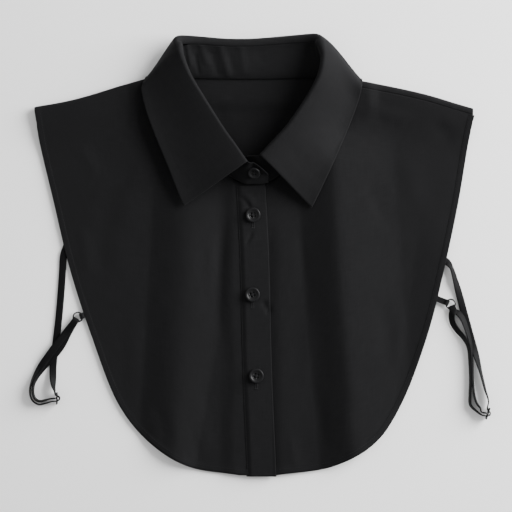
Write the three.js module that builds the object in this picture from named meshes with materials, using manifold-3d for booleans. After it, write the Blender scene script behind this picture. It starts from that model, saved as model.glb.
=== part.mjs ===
// Detachable shirt collar with a buttoned half front, a plain back and two side straps.
// Millimetres, +Z up. It lies on its back on a flat surface, front up, neck towards +Y.
// The origin is on the underside of the back panel, on the centre-front line.
// Left and right in the names are the wearer's, so the wearer's right side lies at -X.
import * as THREE from 'three';
import Module from 'manifold-3d';
import { mergeVertices } from 'three/addons/utils/BufferGeometryUtils.js';

// ---------- driving dimensions
const PANEL_WALL = 1.0;        // cloth of the back, the fronts and the button band
const STAND_WALL = 1.2;        // interfaced cloth of the collar stand
const LEAF_WALL = 1.4;         // interfaced cloth of the collar leaf
const GAP = 0.3;               // clear space between pieces that touch
const TURN = 2.6;              // radius of the soft turn of cloth over each shoulder
const HEM_Y = -186;            // level of the hem at the centre
const LOFT_REACH = 45;         // how far the fronts slope down from the shoulder turn
const LEAF_UNDER_BACK = 2.3;   // rise of the back panel where the leaf lies beneath it
const BAND_WIDTH = 25;
const BAND_DROP = 1;           // how far the band's end stands below the hem
const UNDER_FRONT_EDGE = -12;  // hidden centre edge of the wearer's left front
const OVER_LIFT = 1.8;         // rise of the stand's upper end over its lower end
const BUTTON_DIAMETER = 12.5;
const COLLAR_BUTTON_DIAMETER = 10.5;
const BUTTON_THICKNESS = 2.4;
const STRAP_WIDTH = 6;
const STRAP_WALL = 1.2;
const RING_RADIUS = 4.0;       // to the middle of the wire
const WIRE_RADIUS = 0.5;
const SLIDER = { length: 10.2, width: 9, thickness: 1.2, bar: 1.2, rail: 1.1 };

// Armholes and hem as one edge on each side, from under the shoulder tip to the centre.
const EDGE = [
  { y: 113, left: -184.5, right: 185.2 },
  { y: 97, left: -182, right: 182 },
  { y: 46, left: -170, right: 173.5 },
  { y: -10, left: -156.5, right: 161.5 },
  { y: -66, left: -138.5, right: 147.5 },
  { y: -127.5, left: -114, right: 124 },
  { y: -158, left: -89, right: 103 },
  { y: -178.5, left: -56, right: 67 },
  { y: HEM_Y, left: -12, right: 19 },
];
// Highest line of each shoulder, from tip to tip; the neck lies between the middle rows.
const SHOULDER = [
  { x: -186, y: 126 },
  { x: -153, y: 132.5 },
  { x: -99.5, y: 148 },
  { x: -69, y: 154.5 },
  { x: 69, y: 151.8 },
  { x: 93, y: 148 },
  { x: 143.5, y: 137.5 },
  { x: 187.5, y: 124 },
];
// Necklines: distance from the centre line against height.
const NECK_FRONT = [
  { x: 0, y: 59.5 },
  { x: 12, y: 61.5 },
  { x: 30, y: 76 },
  { x: 48, y: 104 },
  { x: 61, y: 132 },
  { x: 69, y: 148.5 },
];
const NECK_BACK = [
  { x: 0, y: 149.2 },
  { x: 54, y: 150.2 },
  { x: 69, y: 152 },
];
// Centre line of the button band.
const BAND = [
  { y: HEM_Y - BAND_DROP, x: 6.3 },
  { y: -100, x: 2.6 },
  { y: 0, x: 0 },
  { y: 59, x: -3 },
];
// Long soft folds of the fronts: the crest runs through three places, and the cloth falls
// away from it over its own reach to each side. crest: how broadly its top is rounded.
const FOLDS = [
  { top: 75, topX: -55, midX: -62, endX: -70, height: 4.8, left: 30, right: 34, crest: 13 },
  { top: 122, topX: 65, midX: 75, endX: 88, height: 8, left: 32, right: 54, crest: 5 },
  { top: 50, topX: 22.5, midX: 23, endX: 25.5, height: 2.1, left: 9.5, right: 20, crest: 4 },
  { top: 40, topX: 172, midX: 160, endX: 142, height: 2.4, left: 30, right: 20, crest: 8 },
];
const FOLD_MIDDLE = -40;
const FOLD_RISE = 45;          // length over which a fold grows from its top end
// Buttons down the band.
const BUTTONS = [
  { name: 'button_1', x: -0.8, y: 34.8 },
  { name: 'button_2', x: -1.3, y: -32.7 },
  { name: 'button_3', x: 2, y: -101.7 },
];

// The collar from the wearer's right end, round the back of the neck, to the left end.
// turn: centre of the round turn of the cloth at the fold; seam: foot of the stand;
// edge: outer edge of the leaf, whose z is left out where the leaf lies on a front;
// round: radius of the turn; rise and fall: slope of the cloth, in degrees, as it comes up
// to the turn and as it leaves it, where 0 runs level away from the neck.
const COLLAR = [
  { turn: [-7, 79, 22], seam: [-9.5, 62], edge: [-59.5, 42.5, 10.5], round: 1.6, rise: 95, fall: -4 },
  { turn: [-17, 93.5, 21], seam: [-21, 68.5], edge: [-65.5, 57, 10.8], round: 1.6, rise: 95, fall: -6 },
  { turn: [-27, 107.5, 20.5], seam: [-33.5, 82.5], edge: [-73, 76.5, 11.2], round: 1.6, rise: 95, fall: -8 },
  { turn: [-41, 129.5, 21], seam: [-47.5, 107], edge: [-83, 100.5, 11.5], round: 1.7, rise: 95, fall: -11 },
  { turn: [-54.5, 151.5, 22.5], seam: [-58.5, 132.5], edge: [-91, 122.5, 12], round: 2, rise: 95, fall: -16 },
  { turn: [-61.5, 168, 22.8], seam: [-62, 145.5], edge: [-95, 139.5, 12], round: 2.4, rise: 90, fall: -28 },
  { turn: [-63.5, 175.5, 20.5], seam: [-62, 148.8], edge: [-93.8, 146.5, 10.5], round: 3, rise: 84, fall: -44 },
  { turn: [-64.6, 179.8, 17.8], seam: [-61, 150], edge: [-91.5, 150.5, 6], round: 3.4, rise: 76, fall: -66 },
  { turn: [-64, 182, 14.6], seam: [-59.5, 150.6], edge: [-89.5, 149.5, 1.6], round: 3.8, rise: 66, fall: -90 },
  { turn: [-58.6, 182.4, 9.8], seam: [-55, 150.8], edge: [-84, 143, 0.8], round: 4.2, rise: 48, fall: -120 },
  { turn: [-46, 181.6, 6.6], seam: [-43, 150.6], edge: [-63, 140.5, 0.8], round: 4.3, rise: 34, fall: -150 },
  { turn: [-25, 179.8, 5.6], seam: [-25, 150.4], edge: [-34, 139.8, 0.8], round: 4.4, rise: 28, fall: -165 },
  { turn: [-5, 179.6, 5.4], seam: [-5, 150.2], edge: [-5, 139.5, 0.8], round: 4.4, rise: 26, fall: -168 },
  { turn: [14, 180.8, 5.6], seam: [18, 150.4], edge: [24, 139.5, 0.8], round: 4.4, rise: 28, fall: -165 },
  { turn: [31, 182.4, 6.6], seam: [39, 150.8], edge: [50, 139.5, 0.8], round: 4.3, rise: 34, fall: -150 },
  { turn: [45.5, 183.6, 9.6], seam: [50.5, 150.8], edge: [70, 139, 0.8], round: 4.2, rise: 48, fall: -120 },
  { turn: [52.5, 183.8, 15], seam: [57, 150.6], edge: [87, 142, 1], round: 3.8, rise: 66, fall: -88 },
  { turn: [55.5, 181.5, 19], seam: [60, 150], edge: [91.2, 148.4, 3.3], round: 3.4, rise: 76, fall: -64 },
  { turn: [57.5, 177, 22], seam: [61.8, 148.5], edge: [91.5, 148, 7.5], round: 3, rise: 84, fall: -46 },
  { turn: [59, 168, 25.5], seam: [62, 145], edge: [91, 142.5, 11], round: 2.6, rise: 90, fall: -30 },
  { turn: [56, 152, 27], seam: [58.5, 131], edge: [87, 127.5], round: 2.4, rise: 95, fall: -24 },
  { turn: [46.5, 134, 26], seam: [48.5, 107], edge: [77.5, 103], round: 2.3, rise: 95, fall: -18 },
  { turn: [30.5, 110.5, 24.5], seam: [33.5, 82.5], edge: [67, 79], round: 2.2, rise: 95, fall: -12 },
  { turn: [18, 96.5, 23.5], seam: [21, 68.5], edge: [57.5, 58.5], round: 2.2, rise: 95, fall: -8 },
  { turn: [6.5, 84, 22.5], seam: [9.5, 62], edge: [49, 41], round: 2.2, rise: 95, fall: -4 },
];
// The stand runs on past the leaf at both ends; the wearer's right end lies on top.
const STAND_OVER = [
  { foot: [-2, 61.2], top: [0, 78.5, 20.5] },
  { foot: [5, 61.4], top: [5.8, 74.5, 20.2] },
  { foot: [12, 62.2], top: [11.4, 69.4, 18] },
];
const STAND_UNDER = [
  { foot: [2.5, 63.5], top: [-1, 84.5, 18.6] },
  { foot: [-5, 63.5], top: [-6.5, 84, 15.6] },
  { foot: [-12, 64.5], top: [-12, 81, 12.6] },
];

// Side straps. Each is one elastic: from the back it comes to the slider, weaves round
// its middle bar, runs doubled to the ring, turns there and comes back to the bar.
// lift: lowest point over the table; lean: turn of the strap about its own length, where 0
// is flat and 90 on edge. In `pair` rows spread is the distance between the two runs.
const STRAPS = [
  {
    side: 'right',
    slider: { x: -167.1, y: -120.7, z: 5.1, heading: 90 },
    ring: { x: -149.6, y: -51.9, z: 2.5, tabHeading: 17.8, tabLength: 6.1, strapHeading: 235 },
    single: [
      { x: -162.4, y: 0.4, lift: 0, lean: 0 },
      { x: -162.8, y: -14, lift: 0, lean: 0 },
      { x: -164.2, y: -34, lift: 0, lean: 0 },
      { x: -166, y: -54, lift: 0, lean: 0 },
      { x: -168.4, y: -74, lift: 0, lean: 0 },
      { x: -170.6, y: -92, lift: 0, lean: 0 },
      { x: -170.8, y: -103, lift: 0.2, lean: -20 },
      { x: -170.2, y: -111, lift: 1.2, lean: -66 },
    ],
    pair: [
      { x: -177.5, y: -123.8, lean: -86, spread: 2.6, liftOut: 1, liftBack: 1 },
      { x: -182.6, y: -124.6, lean: -86, spread: 2.8, liftOut: 0.2, liftBack: 0.2 },
      { x: -187, y: -121.8, lean: -86, spread: 2.8, liftOut: 0, liftBack: 0 },
      { x: -188.9, y: -116, lean: -84, spread: 2.6, liftOut: 0, liftBack: 0 },
      { x: -188, y: -108.5, lean: -76, spread: 2.2, liftOut: 0, liftBack: 0 },
      { x: -184.6, y: -101, lean: -58, spread: 2, liftOut: 0.2, liftBack: 0 },
      { x: -180, y: -94, lean: -24, spread: 2, liftOut: 1.5, liftBack: 0 },
      { x: -174.6, y: -87.4, lean: 0, spread: 3, liftOut: 2.9, liftBack: 1.4 },
      { x: -169, y: -80.5, lean: 0, spread: 4, liftOut: 3, liftBack: 1.5 },
      { x: -163.6, y: -73.2, lean: 0, spread: 3.4, liftOut: 2.7, liftBack: 1.1 },
      { x: -158.6, y: -65, lean: 0, spread: 1.6, liftOut: 2.4, liftBack: 0.5 },
    ],
  },
  {
    side: 'left',
    slider: { x: 198.3, y: -133.6, z: 5.1, heading: 72 },
    ring: { x: 167, y: -40.8, z: 2.5, tabHeading: 158.8, tabLength: 13.3, strapHeading: 293 },
    single: [
      { x: 164.2, y: -5.4, lift: 0, lean: -20 },
      { x: 167.6, y: -10, lift: 0, lean: -62 },
      { x: 170.6, y: -19.5, lift: 0, lean: -48 },
      { x: 174.3, y: -32.5, lift: 0, lean: -14 },
      { x: 178.3, y: -47.6, lift: 0, lean: 0 },
      { x: 182.3, y: -62, lift: 0, lean: 0 },
      { x: 186, y: -75.5, lift: 0, lean: -4 },
      { x: 189.4, y: -87, lift: 0, lean: -40 },
      { x: 192.3, y: -98, lift: 0, lean: -66 },
      { x: 196, y: -112.5, lift: 0.4, lean: -74 },
      { x: 199, y: -123.5, lift: 1.6, lean: -84 },
    ],
    pair: [
      { x: 190.6, y: -130.6, lean: -86, spread: 4, liftOut: 0.6, liftBack: 0.6 },
      { x: 186.3, y: -125.4, lean: -86, spread: 5.4, liftOut: 0, liftBack: 0 },
      { x: 185.2, y: -117.6, lean: -84, spread: 3.6, liftOut: 0, liftBack: 0 },
      { x: 184.8, y: -107, lean: -76, spread: 1.9, liftOut: 0, liftBack: 0 },
      { x: 184.4, y: -92, lean: -74, spread: 1.9, liftOut: 0.1, liftBack: 0.1 },
      { x: 183.2, y: -77, lean: -66, spread: 2.2, liftOut: 1.4, liftBack: 1.4 },
      { x: 180.2, y: -68.6, lean: -56, spread: 4.4, liftOut: 1.4, liftBack: 1.4 },
      { x: 176, y: -61, lean: -46, spread: 8, liftOut: 0.4, liftBack: 1.4 },
      { x: 172.6, y: -54.4, lean: -40, spread: 9, liftOut: 0.2, liftBack: 1.4 },
      { x: 170.2, y: -48.6, lean: -34, spread: 5, liftOut: 2.4, liftBack: 0.4 },
    ],
  },
];
// Weave of a strap through its slider: across the plate and along it, from the middle bar.
const WEAVE = [
  { across: -2, along: 6 },
  { across: -1.7, along: 4.3 },
  { across: -0.9, along: 2.7 },
  { across: 0.4, along: 2.1 },
  { across: 1.7, along: 1.3 },
  { across: 2.1, along: 0 },
  { across: 1.7, along: -1.3 },
  { across: 0.4, along: -2.1 },
  { across: -1.4, along: -2.5 },
  { across: -4, along: -2.8 },
];
const RETURN_END = [
  { across: -5.5, along: -0.3 },
  { across: -1.05, along: 0 },
];

const vec = (x, y, z) => new THREE.Vector3(x, y, z);
const mix = THREE.MathUtils.lerp;
const ease = (t) => THREE.MathUtils.smoothstep(t, 0, 1);

// ---------- reading the tables

// A smooth curve that keeps every row's value and never swings past it.
function reader(rows, from, to) {
  const xs = rows.map((row) => row[from]);
  const ys = rows.map((row) => row[to]);
  const steps = xs.slice(1).map((x, i) => (ys[i + 1] - ys[i]) / (x - xs[i]));
  const slopes = xs.map((_, i) => {
    if (i === 0) return steps[0];
    if (i === xs.length - 1) return steps[i - 1];
    const before = steps[i - 1];
    const after = steps[i];
    return before * after <= 0 ? 0 : (2 * before * after) / (before + after);
  });
  return (x) => {
    let i = xs.findIndex((_, k) => k + 2 >= xs.length || x < xs[k + 1]);
    i = Math.max(0, i);
    const width = xs[i + 1] - xs[i];
    const t = THREE.MathUtils.clamp((x - xs[i]) / width, 0, 1);
    const a = (1 + 2 * t) * (1 - t) ** 2;
    const b = t * (1 - t) ** 2;
    const c = t * t * (3 - 2 * t);
    const d = t * t * (t - 1);
    return a * ys[i] + b * width * slopes[i] + c * ys[i + 1] + d * width * slopes[i + 1];
  };
}

const shoulderLine = reader(SHOULDER, 'x', 'y');
const neckFront = reader(NECK_FRONT, 'x', 'y');
const neckBack = reader(NECK_BACK, 'x', 'y');
const bandCentre = reader(BAND, 'y', 'x');
const NECK_HALF = 69;          // half of the neck's width between the shoulder lines

function edgeCurve(side) {
  const points = EDGE.map((row) => vec(row[side], row.y, 0));
  return new THREE.CatmullRomCurve3(points, false, 'centripetal');
}
const edges = { left: edgeCurve('left'), right: edgeCurve('right') };

// Level of the armhole and hem edge below a place x.
function lowerEdge(x) {
  const last = EDGE[EDGE.length - 1];
  if (x >= last.left && x <= last.right) return HEM_Y;
  const curve = x < 0 ? edges.left : edges.right;
  let low = 0;
  let high = 1;
  for (let i = 0; i < 40; i += 1) {
    const middle = (low + high) / 2;
    if (Math.abs(curve.getPoint(middle).x) > Math.abs(x)) low = middle;
    else high = middle;
  }
  return curve.getPoint(low).y;
}

// ---------- levels of the cloth

// Rise of the back panel over the part of the leaf that lies beneath it.
function backRise(x, y) {
  return LEAF_UNDER_BACK * ease((108 - Math.abs(x)) / 12) * ease((y - 120) / 13);
}

function backLevel(x, y) {
  return PANEL_WALL / 2 + backRise(x, y);
}

function foldHeight(fold, x, y) {
  const down = (fold.top - y) / (fold.top - FOLD_MIDDLE);
  const lower = (FOLD_MIDDLE - y) / (FOLD_MIDDLE - HEM_Y);
  const crest = y > FOLD_MIDDLE
    ? mix(fold.topX, fold.midX, Math.max(down, 0))
    : mix(fold.midX, fold.endX, lower);
  const reach = x < crest ? fold.left : fold.right;
  const away = Math.hypot(x - crest, fold.crest) - fold.crest;
  const over = 1 - Math.min(away / (Math.hypot(reach, fold.crest) - fold.crest), 1);
  const grown = ease((fold.top - y) / FOLD_RISE);
  return (fold.height * grown * 1.15 * over * over) / (over + 0.15);
}

// Height of a front's middle surface over the table where nothing else lies under it.
const FRONT_LEVEL = PANEL_WALL * 1.5 + GAP;
function frontLevel(x, y) {
  const ridge = shoulderLine(x) - TURN;
  const top = PANEL_WALL / 2 + backRise(x, ridge) + 2 * TURN;
  const away = THREE.MathUtils.clamp((ridge - y) / LOFT_REACH, 0, 1);
  const loft = (top - FRONT_LEVEL) * (1 - away) ** 2 * (1 + 2 * away);
  const folds = FOLDS.reduce((sum, fold) => sum + foldHeight(fold, x, y), 0);
  return FRONT_LEVEL + loft + folds;
}

// The wearer's right front lies over the left one along the centre.
function overLevel(x, y) {
  return frontLevel(x, y) + (PANEL_WALL + 2.6 * GAP) * ease((x + 30) / 14);
}

// ---------- walls of cloth

// A closed wall of even thickness round a grid of middle points, grid[column][row].
function clothWall(grid, wall) {
  const columns = grid.length;
  const rows = grid[0].length;
  const normals = grid.map((column) => column.map(() => vec(0, 0, 0)));
  for (let c = 0; c + 1 < columns; c += 1) {
    for (let r = 0; r + 1 < rows; r += 1) {
      const corners = [[c, r], [c + 1, r], [c + 1, r + 1], [c, r + 1]];
      const diagonalA = grid[c + 1][r + 1].clone().sub(grid[c][r]);
      const diagonalB = grid[c][r + 1].clone().sub(grid[c + 1][r]);
      const facing = diagonalA.cross(diagonalB).normalize();
      corners.forEach(([i, j]) => normals[i][j].add(facing));
    }
  }
  const positions = [];
  [1, -1].forEach((sign) => grid.forEach((column, c) => column.forEach((point, r) => {
    const moved = normals[c][r].clone().normalize().multiplyScalar((sign * wall) / 2).add(point);
    positions.push(moved.x, moved.y, moved.z);
  })));
  const at = (side, c, r) => side * columns * rows + c * rows + r;
  const index = [];
  const quad = (a, b, c, d) => index.push(a, b, c, a, c, d);
  for (let c = 0; c + 1 < columns; c += 1) {
    for (let r = 0; r + 1 < rows; r += 1) {
      quad(at(0, c, r), at(0, c + 1, r), at(0, c + 1, r + 1), at(0, c, r + 1));
      quad(at(1, c, r + 1), at(1, c + 1, r + 1), at(1, c + 1, r), at(1, c, r));
    }
    quad(at(0, c + 1, 0), at(0, c, 0), at(1, c, 0), at(1, c + 1, 0));
    quad(at(0, c, rows - 1), at(0, c + 1, rows - 1), at(1, c + 1, rows - 1), at(1, c, rows - 1));
  }
  for (let r = 0; r + 1 < rows; r += 1) {
    quad(at(0, 0, r), at(0, 0, r + 1), at(1, 0, r + 1), at(1, 0, r));
    quad(at(0, columns - 1, r + 1), at(0, columns - 1, r), at(1, columns - 1, r),
      at(1, columns - 1, r + 1));
  }
  const geometry = new THREE.BufferGeometry();
  geometry.setAttribute('position', new THREE.Float32BufferAttribute(positions, 3));
  geometry.setIndex(index);
  return geometry;
}

// Places for a panel's columns, closer together where its top or its lower edge is steep.
function columnPlaces(from, to, top, step) {
  const places = [from];
  let x = from;
  while (x < to - 0.01) {
    let next = Math.min(x + step, to);
    const rise = () => Math.max(
      Math.abs(top(next) - top(x)),
      Math.abs(lowerEdge(next) - lowerEdge(x)) * 0.5,
    );
    while (rise() > step && next - x > 1.6) next = x + (next - x) * 0.85;
    x = to - next < 1.2 ? to : next;
    places.push(x);
  }
  return places;
}

// Rows of a panel from its hem (0) to its top (1), closer together near the top.
function rowPlaces(count) {
  return Array.from({ length: count + 1 }, (_, i) => {
    const t = i / count;
    return t * (1.35 - 0.35 * t);
  });
}

// ---------- panels

const TIP_LEAN = 1.6;          // the shoulder tip lies this far outside the armhole below it
const TURN_STEPS = 5;
const SEAM_ANGLE = 105;        // wearer's right: the seam lies this far round the turn
const SEAM_FORWARD = 2.6;      // wearer's left: the back comes this far on over the front
const SEAM_GAP_ANGLE = 12;     // the gap of a seam on the turn
const FLAT_STEP = 0.25;        // what the rows of the turn take along the neckline instead

// How much of the shoulder turn a place takes: none at the neck, all of it further out.
const turnShare = (x) => ease((Math.abs(x) - 65) / 8);

// A column's x leans out to the shoulder tip near the armhole.
function tipLean(x, share) {
  return Math.sign(x) * TIP_LEAN * ease((Math.abs(x) - 165) / 20) * share;
}

// A place on the shoulder turn: 0 degrees at its foot on the back, 180 on the front.
function onTurn(x, y, foot, angle) {
  const turned = THREE.MathUtils.degToRad(angle);
  return vec(x, y + TURN * Math.sin(turned), foot + TURN * (1 - Math.cos(turned)));
}

function backPanel() {
  const inset = 1;
  const top = (x) => (Math.abs(x) < NECK_HALF ? neckBack(Math.abs(x)) : shoulderLine(x) - TURN);
  const places = columnPlaces(EDGE[0].left + inset, EDGE[0].right - inset, top, 15);
  const grid = places.map((x) => {
    const low = lowerEdge(x) + inset;
    const high = top(x);
    const column = rowPlaces(6).map((t) => {
      const y = mix(low, high, t);
      return vec(x + tipLean(x, t), y, backLevel(x, y));
    });
    const share = turnShare(x);
    const span = (x < 0 ? SEAM_ANGLE : 180) * share;
    const out = x + tipLean(x, 1);
    for (let i = 1; i <= TURN_STEPS; i += 1) {
      const y = high + FLAT_STEP * i * (1 - share);
      column.push(onTurn(out, y, backLevel(x, high), (span * i) / TURN_STEPS));
    }
    const last = column[column.length - 1];
    const turned = THREE.MathUtils.degToRad(span);
    const on = mix(FLAT_STEP, x < 0 ? 2 * FLAT_STEP : SEAM_FORWARD, share);
    column.push(vec(out, last.y + on * Math.cos(turned), last.z + on * Math.sin(turned)));
    return column;
  });
  return clothWall(grid, PANEL_WALL);
}

// The wearer's right front turns over the shoulder to a seam on the turn itself.
function rightFront() {
  const edgeTop = bandCentre(NECK_FRONT[0].y) + BAND_WIDTH / 2 - 0.5;
  const edgeFoot = bandCentre(HEM_Y) + BAND_WIDTH / 2 - 0.5;
  const ridge = (x) => shoulderLine(x) - TURN;
  const top = (x) => (x > -NECK_HALF ? Math.min(neckFront(Math.abs(x)), ridge(x)) : ridge(x));
  const places = columnPlaces(EDGE[0].left, edgeFoot, top, 10);
  const bandLean = (x) => (edgeTop - edgeFoot) * ease((x + 45) / (45 + edgeFoot));
  const grid = places.map((x) => {
    const low = lowerEdge(x);
    const high = top(x + bandLean(x));
    const column = rowPlaces(11).map((t) => {
      const y = mix(low, high, t);
      const across = x + tipLean(x, t) + bandLean(x) * t;
      return vec(across, y, overLevel(across, y));
    });
    const share = turnShare(x);
    const end = column[column.length - 1];
    for (let i = 1; i <= TURN_STEPS - 2; i += 1) {
      const angle = 180 - ((180 - SEAM_ANGLE - 2 * SEAM_GAP_ANGLE) * share * i) / (TURN_STEPS - 2);
      const y = end.y + FLAT_STEP * i * (1 - share);
      column.push(onTurn(end.x, y, end.z - 2 * TURN, angle));
    }
    return column;
  });
  return clothWall(grid, PANEL_WALL);
}

// The wearer's left front starts at a seam in front of the shoulder turn.
function leftFront() {
  const seam = (x) => shoulderLine(x) - TURN - SEAM_FORWARD - GAP - 0.1;
  const top = (x) => (x < NECK_HALF ? Math.min(neckFront(Math.abs(x)), seam(x)) : seam(x));
  const places = columnPlaces(UNDER_FRONT_EDGE, EDGE[0].right, top, 11);
  const grid = places.map((x) => {
    const low = lowerEdge(x);
    const high = top(x);
    return rowPlaces(12).map((t) => {
      const y = mix(low, high, t);
      const across = x + tipLean(x, t);
      return vec(across, y, frontLevel(across, y));
    });
  });
  return clothWall(grid, PANEL_WALL);
}

// The folded band on the wearer's right front, made from the front's points, moved out.
const bandLevel = (x, y) => overLevel(x, y) + PANEL_WALL + GAP;
function buttonBand() {
  const columns = 5;
  const rows = 26;
  const grid = Array.from({ length: columns }, (_, c) => Array.from({ length: rows }, (__, r) => {
    const y = mix(HEM_Y - BAND_DROP, NECK_FRONT[0].y, r / (rows - 1));
    const x = bandCentre(y) + BAND_WIDTH * (c / (columns - 1) - 0.5);
    return vec(x, y, bandLevel(x, y));
  }));
  return clothWall(grid, PANEL_WALL);
}

// ---------- collar

// Rows of the collar table read as smooth curves of the station number.
const stations = COLLAR.map((row, i) => ({ at: i, ...row }));
const LAST = stations.length - 1;
const riseAt = reader(stations, 'at', 'rise');
const fallAt = reader(stations, 'at', 'fall');
const roundAt = reader(stations, 'at', 'round');
function curveThrough(points) {
  const curve = new THREE.CatmullRomCurve3(points, false, 'catmullrom', 0.5);
  return (station) => curve.getPoint(THREE.MathUtils.clamp(station / LAST, 0, 1));
}

// What the stand's foot rests on: the band and fronts, or the back.
function underStand(x, y) {
  if (y > 140) return backLevel(x, y);
  const band = ease((BAND_WIDTH / 2 + 6 - Math.abs(x + 3)) / 6);
  const front = x < 0 ? overLevel(x, y) : overLevel(Math.min(x, 10), y);
  return front + (PANEL_WALL + GAP) * band;
}

// Keeps a middle point of the leaf clear of the table, the back, the turn and the fronts.
const LEAF_CLEAR = PANEL_WALL / 2 + GAP + 0.3 + LEAF_WALL / 2;
const LEAF_BELOW = PANEL_WALL / 2 + GAP + 0.25 + LEAF_WALL / 2;
function clearOfPanels(point) {
  const ridge = shoulderLine(point.x) - TURN;
  const foot = backLevel(point.x, ridge);
  const middle = foot + TURN;
  if (point.y > ridge && Math.abs(point.x) > 60) {
    const away = Math.hypot(point.y - ridge, point.z - middle);
    const least = TURN + LEAF_CLEAR;
    if (away >= least) return point;
    point.y = ridge + ((point.y - ridge) * least) / away;
    point.z = middle + ((point.z - middle) * least) / away;
    return point;
  }
  if (point.z > middle || point.y < 125) {
    point.z = Math.max(point.z, frontLevel(point.x, point.y) + LEAF_CLEAR);
  } else {
    point.z = Math.min(point.z, backLevel(point.x, point.y) - LEAF_BELOW);
  }
  return point;
}

const turnAt = curveThrough(stations.map((row) => vec(...row.turn)));
const seamAt = curveThrough(stations.map(({ at, seam: [x, y] }) => {
  const over = OVER_LIFT * Math.max(0, 1 - at / 2);
  return vec(x, y, underStand(x, y) + PANEL_WALL / 2 + GAP + 0.5 + over);
}));
const edgeAt = curveThrough(stations.map(({ edge: [x, y, z] }) => {
  const level = z ?? frontLevel(x, y) + LEAF_CLEAR;
  return vec(x, y, level);
}));

// Which way the leaf hangs from the fold, level with the table.
function outwards(station) {
  const along = turnAt(station + 0.25).sub(turnAt(station - 0.25));
  return vec(-along.y, along.x, 0).normalize();
}

function hermite(a, slopeA, b, slopeB, t) {
  const point = a.clone().multiplyScalar((1 + 2 * t) * (1 - t) ** 2);
  point.addScaledVector(slopeA, t * (1 - t) ** 2);
  point.addScaledVector(b, t * t * (3 - 2 * t));
  return point.addScaledVector(slopeB, t * t * (t - 1));
}

// The collar's section at a station: `stand` runs from its foot (0) up to the turn (1),
// `turn` over the fold, and `leaf` from the turn (0) to the outer edge (1).
function section(station) {
  const out = outwards(station);
  const centre = turnAt(station);
  const round = roundAt(station);
  const rise = riseAt(station);
  const fall = fallAt(station);
  const slope = (angle, length) => {
    const turned = THREE.MathUtils.degToRad(angle);
    return out.clone().multiplyScalar(length * Math.cos(turned))
      .add(vec(0, 0, length * Math.sin(turned)));
  };
  const onFold = (angle) => centre.clone().add(slope(angle + 90, round));
  const turn = (t) => onFold(mix(rise, fall, t));
  const foot = seamAt(station);
  const edge = edgeAt(station);
  const stand = (t) => {
    const top = onFold(rise);
    const height = foot.distanceTo(top);
    const up = top.clone().sub(foot).multiplyScalar(0.7);
    up.z += height * 0.35;
    return hermite(foot, up, top, slope(rise, height * 0.7), t);
  };
  const leaf = (t) => {
    const top = onFold(fall);
    const lie = edge.clone().sub(top);
    const start = slope(fall, lie.length() * 0.8);
    lie.z *= 0.3;
    const point = hermite(top, start, edge, lie, t);
    point.z = Math.max(point.z, LEAF_WALL / 2 + 0.05);
    return clearOfPanels(point);
  };
  return { stand, turn, leaf };
}

// Stations of the collar's columns: a few for each row of the table.
function stationList(from, to, each) {
  const list = [];
  for (let i = from; i < to; i += 1) {
    for (let k = 0; k < each(i); k += 1) list.push(i + k / each(i));
  }
  return [...list, to];
}
// The leaf bends sharply round the shoulder turn at these rows of the table.
const isTurn = (i) => (i >= 5 && i <= 8) || (i >= 16 && i <= 18);

function collarLeaf() {
  const columns = stationList(0, LAST, (i) => (isTurn(i) ? 3 : 2));
  const grid = columns.map((station) => {
    const { turn, leaf } = section(station);
    return [
      ...[0, 0.25, 0.5, 0.75, 1].map(turn),
      ...[0.12, 0.3, 0.5, 0.7, 0.86, 1].map(leaf),
    ];
  });
  return clothWall(grid, LEAF_WALL);
}

const STAND_ROWS = [0, 0.25, 0.5, 0.75, 0.95];

// A column of the stand past the leaf, shaped like the last column that the leaf covers.
function standEnd(nearest, { foot: [x, y], top }, lift) {
  const rows = STAND_ROWS.length - 1;
  const foot = vec(x, y, underStand(x, y) + PANEL_WALL / 2 + GAP + 0.5 + lift);
  const chord = vec(...top).sub(foot);
  const before = nearest[rows].clone().sub(nearest[0]);
  const ratio = chord.length() / before.length();
  return nearest.map((point, i) => {
    const bulge = point.clone().sub(nearest[0]).addScaledVector(before, -i / rows);
    return foot.clone().addScaledVector(chord, i / rows).addScaledVector(bulge, ratio);
  });
}

// The stand stops a little lower where the fold turns the corner of the neck.
const standColumn = (station) => {
  const short = 1 - 0.09 * ease(1.9 - Math.abs(station - 7.7));
  return STAND_ROWS.map((t) => section(station).stand(t * short));
};
const overEnd = STAND_OVER.map((row) => standEnd(standColumn(0), row, OVER_LIFT));
const underEnd = STAND_UNDER.map((row) => standEnd(standColumn(LAST), row, 0));

function collarStand() {
  const columns = stationList(0, LAST, (i) => (isTurn(i) ? 2 : 1)).map(standColumn);
  return clothWall([...overEnd.slice().reverse(), ...columns, ...underEnd], STAND_WALL);
}

// ---------- buttons

const wasm = await Module();
wasm.setup();

function toSolid(geometry) {
  const bare = geometry.clone();
  bare.deleteAttribute('normal');
  bare.deleteAttribute('uv');
  const merged = mergeVertices(bare, 1e-3);
  return new wasm.Manifold(new wasm.Mesh({
    numProp: 3,
    vertProperties: new Float32Array(merged.attributes.position.array),
    triVerts: new Uint32Array(merged.index.array),
  }));
}

function toGeometry(solid) {
  const mesh = solid.getMesh();
  const geometry = new THREE.BufferGeometry();
  geometry.setAttribute('position', new THREE.Float32BufferAttribute(mesh.vertProperties, 3));
  geometry.setIndex(Array.from(mesh.triVerts));
  return geometry;
}

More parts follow.
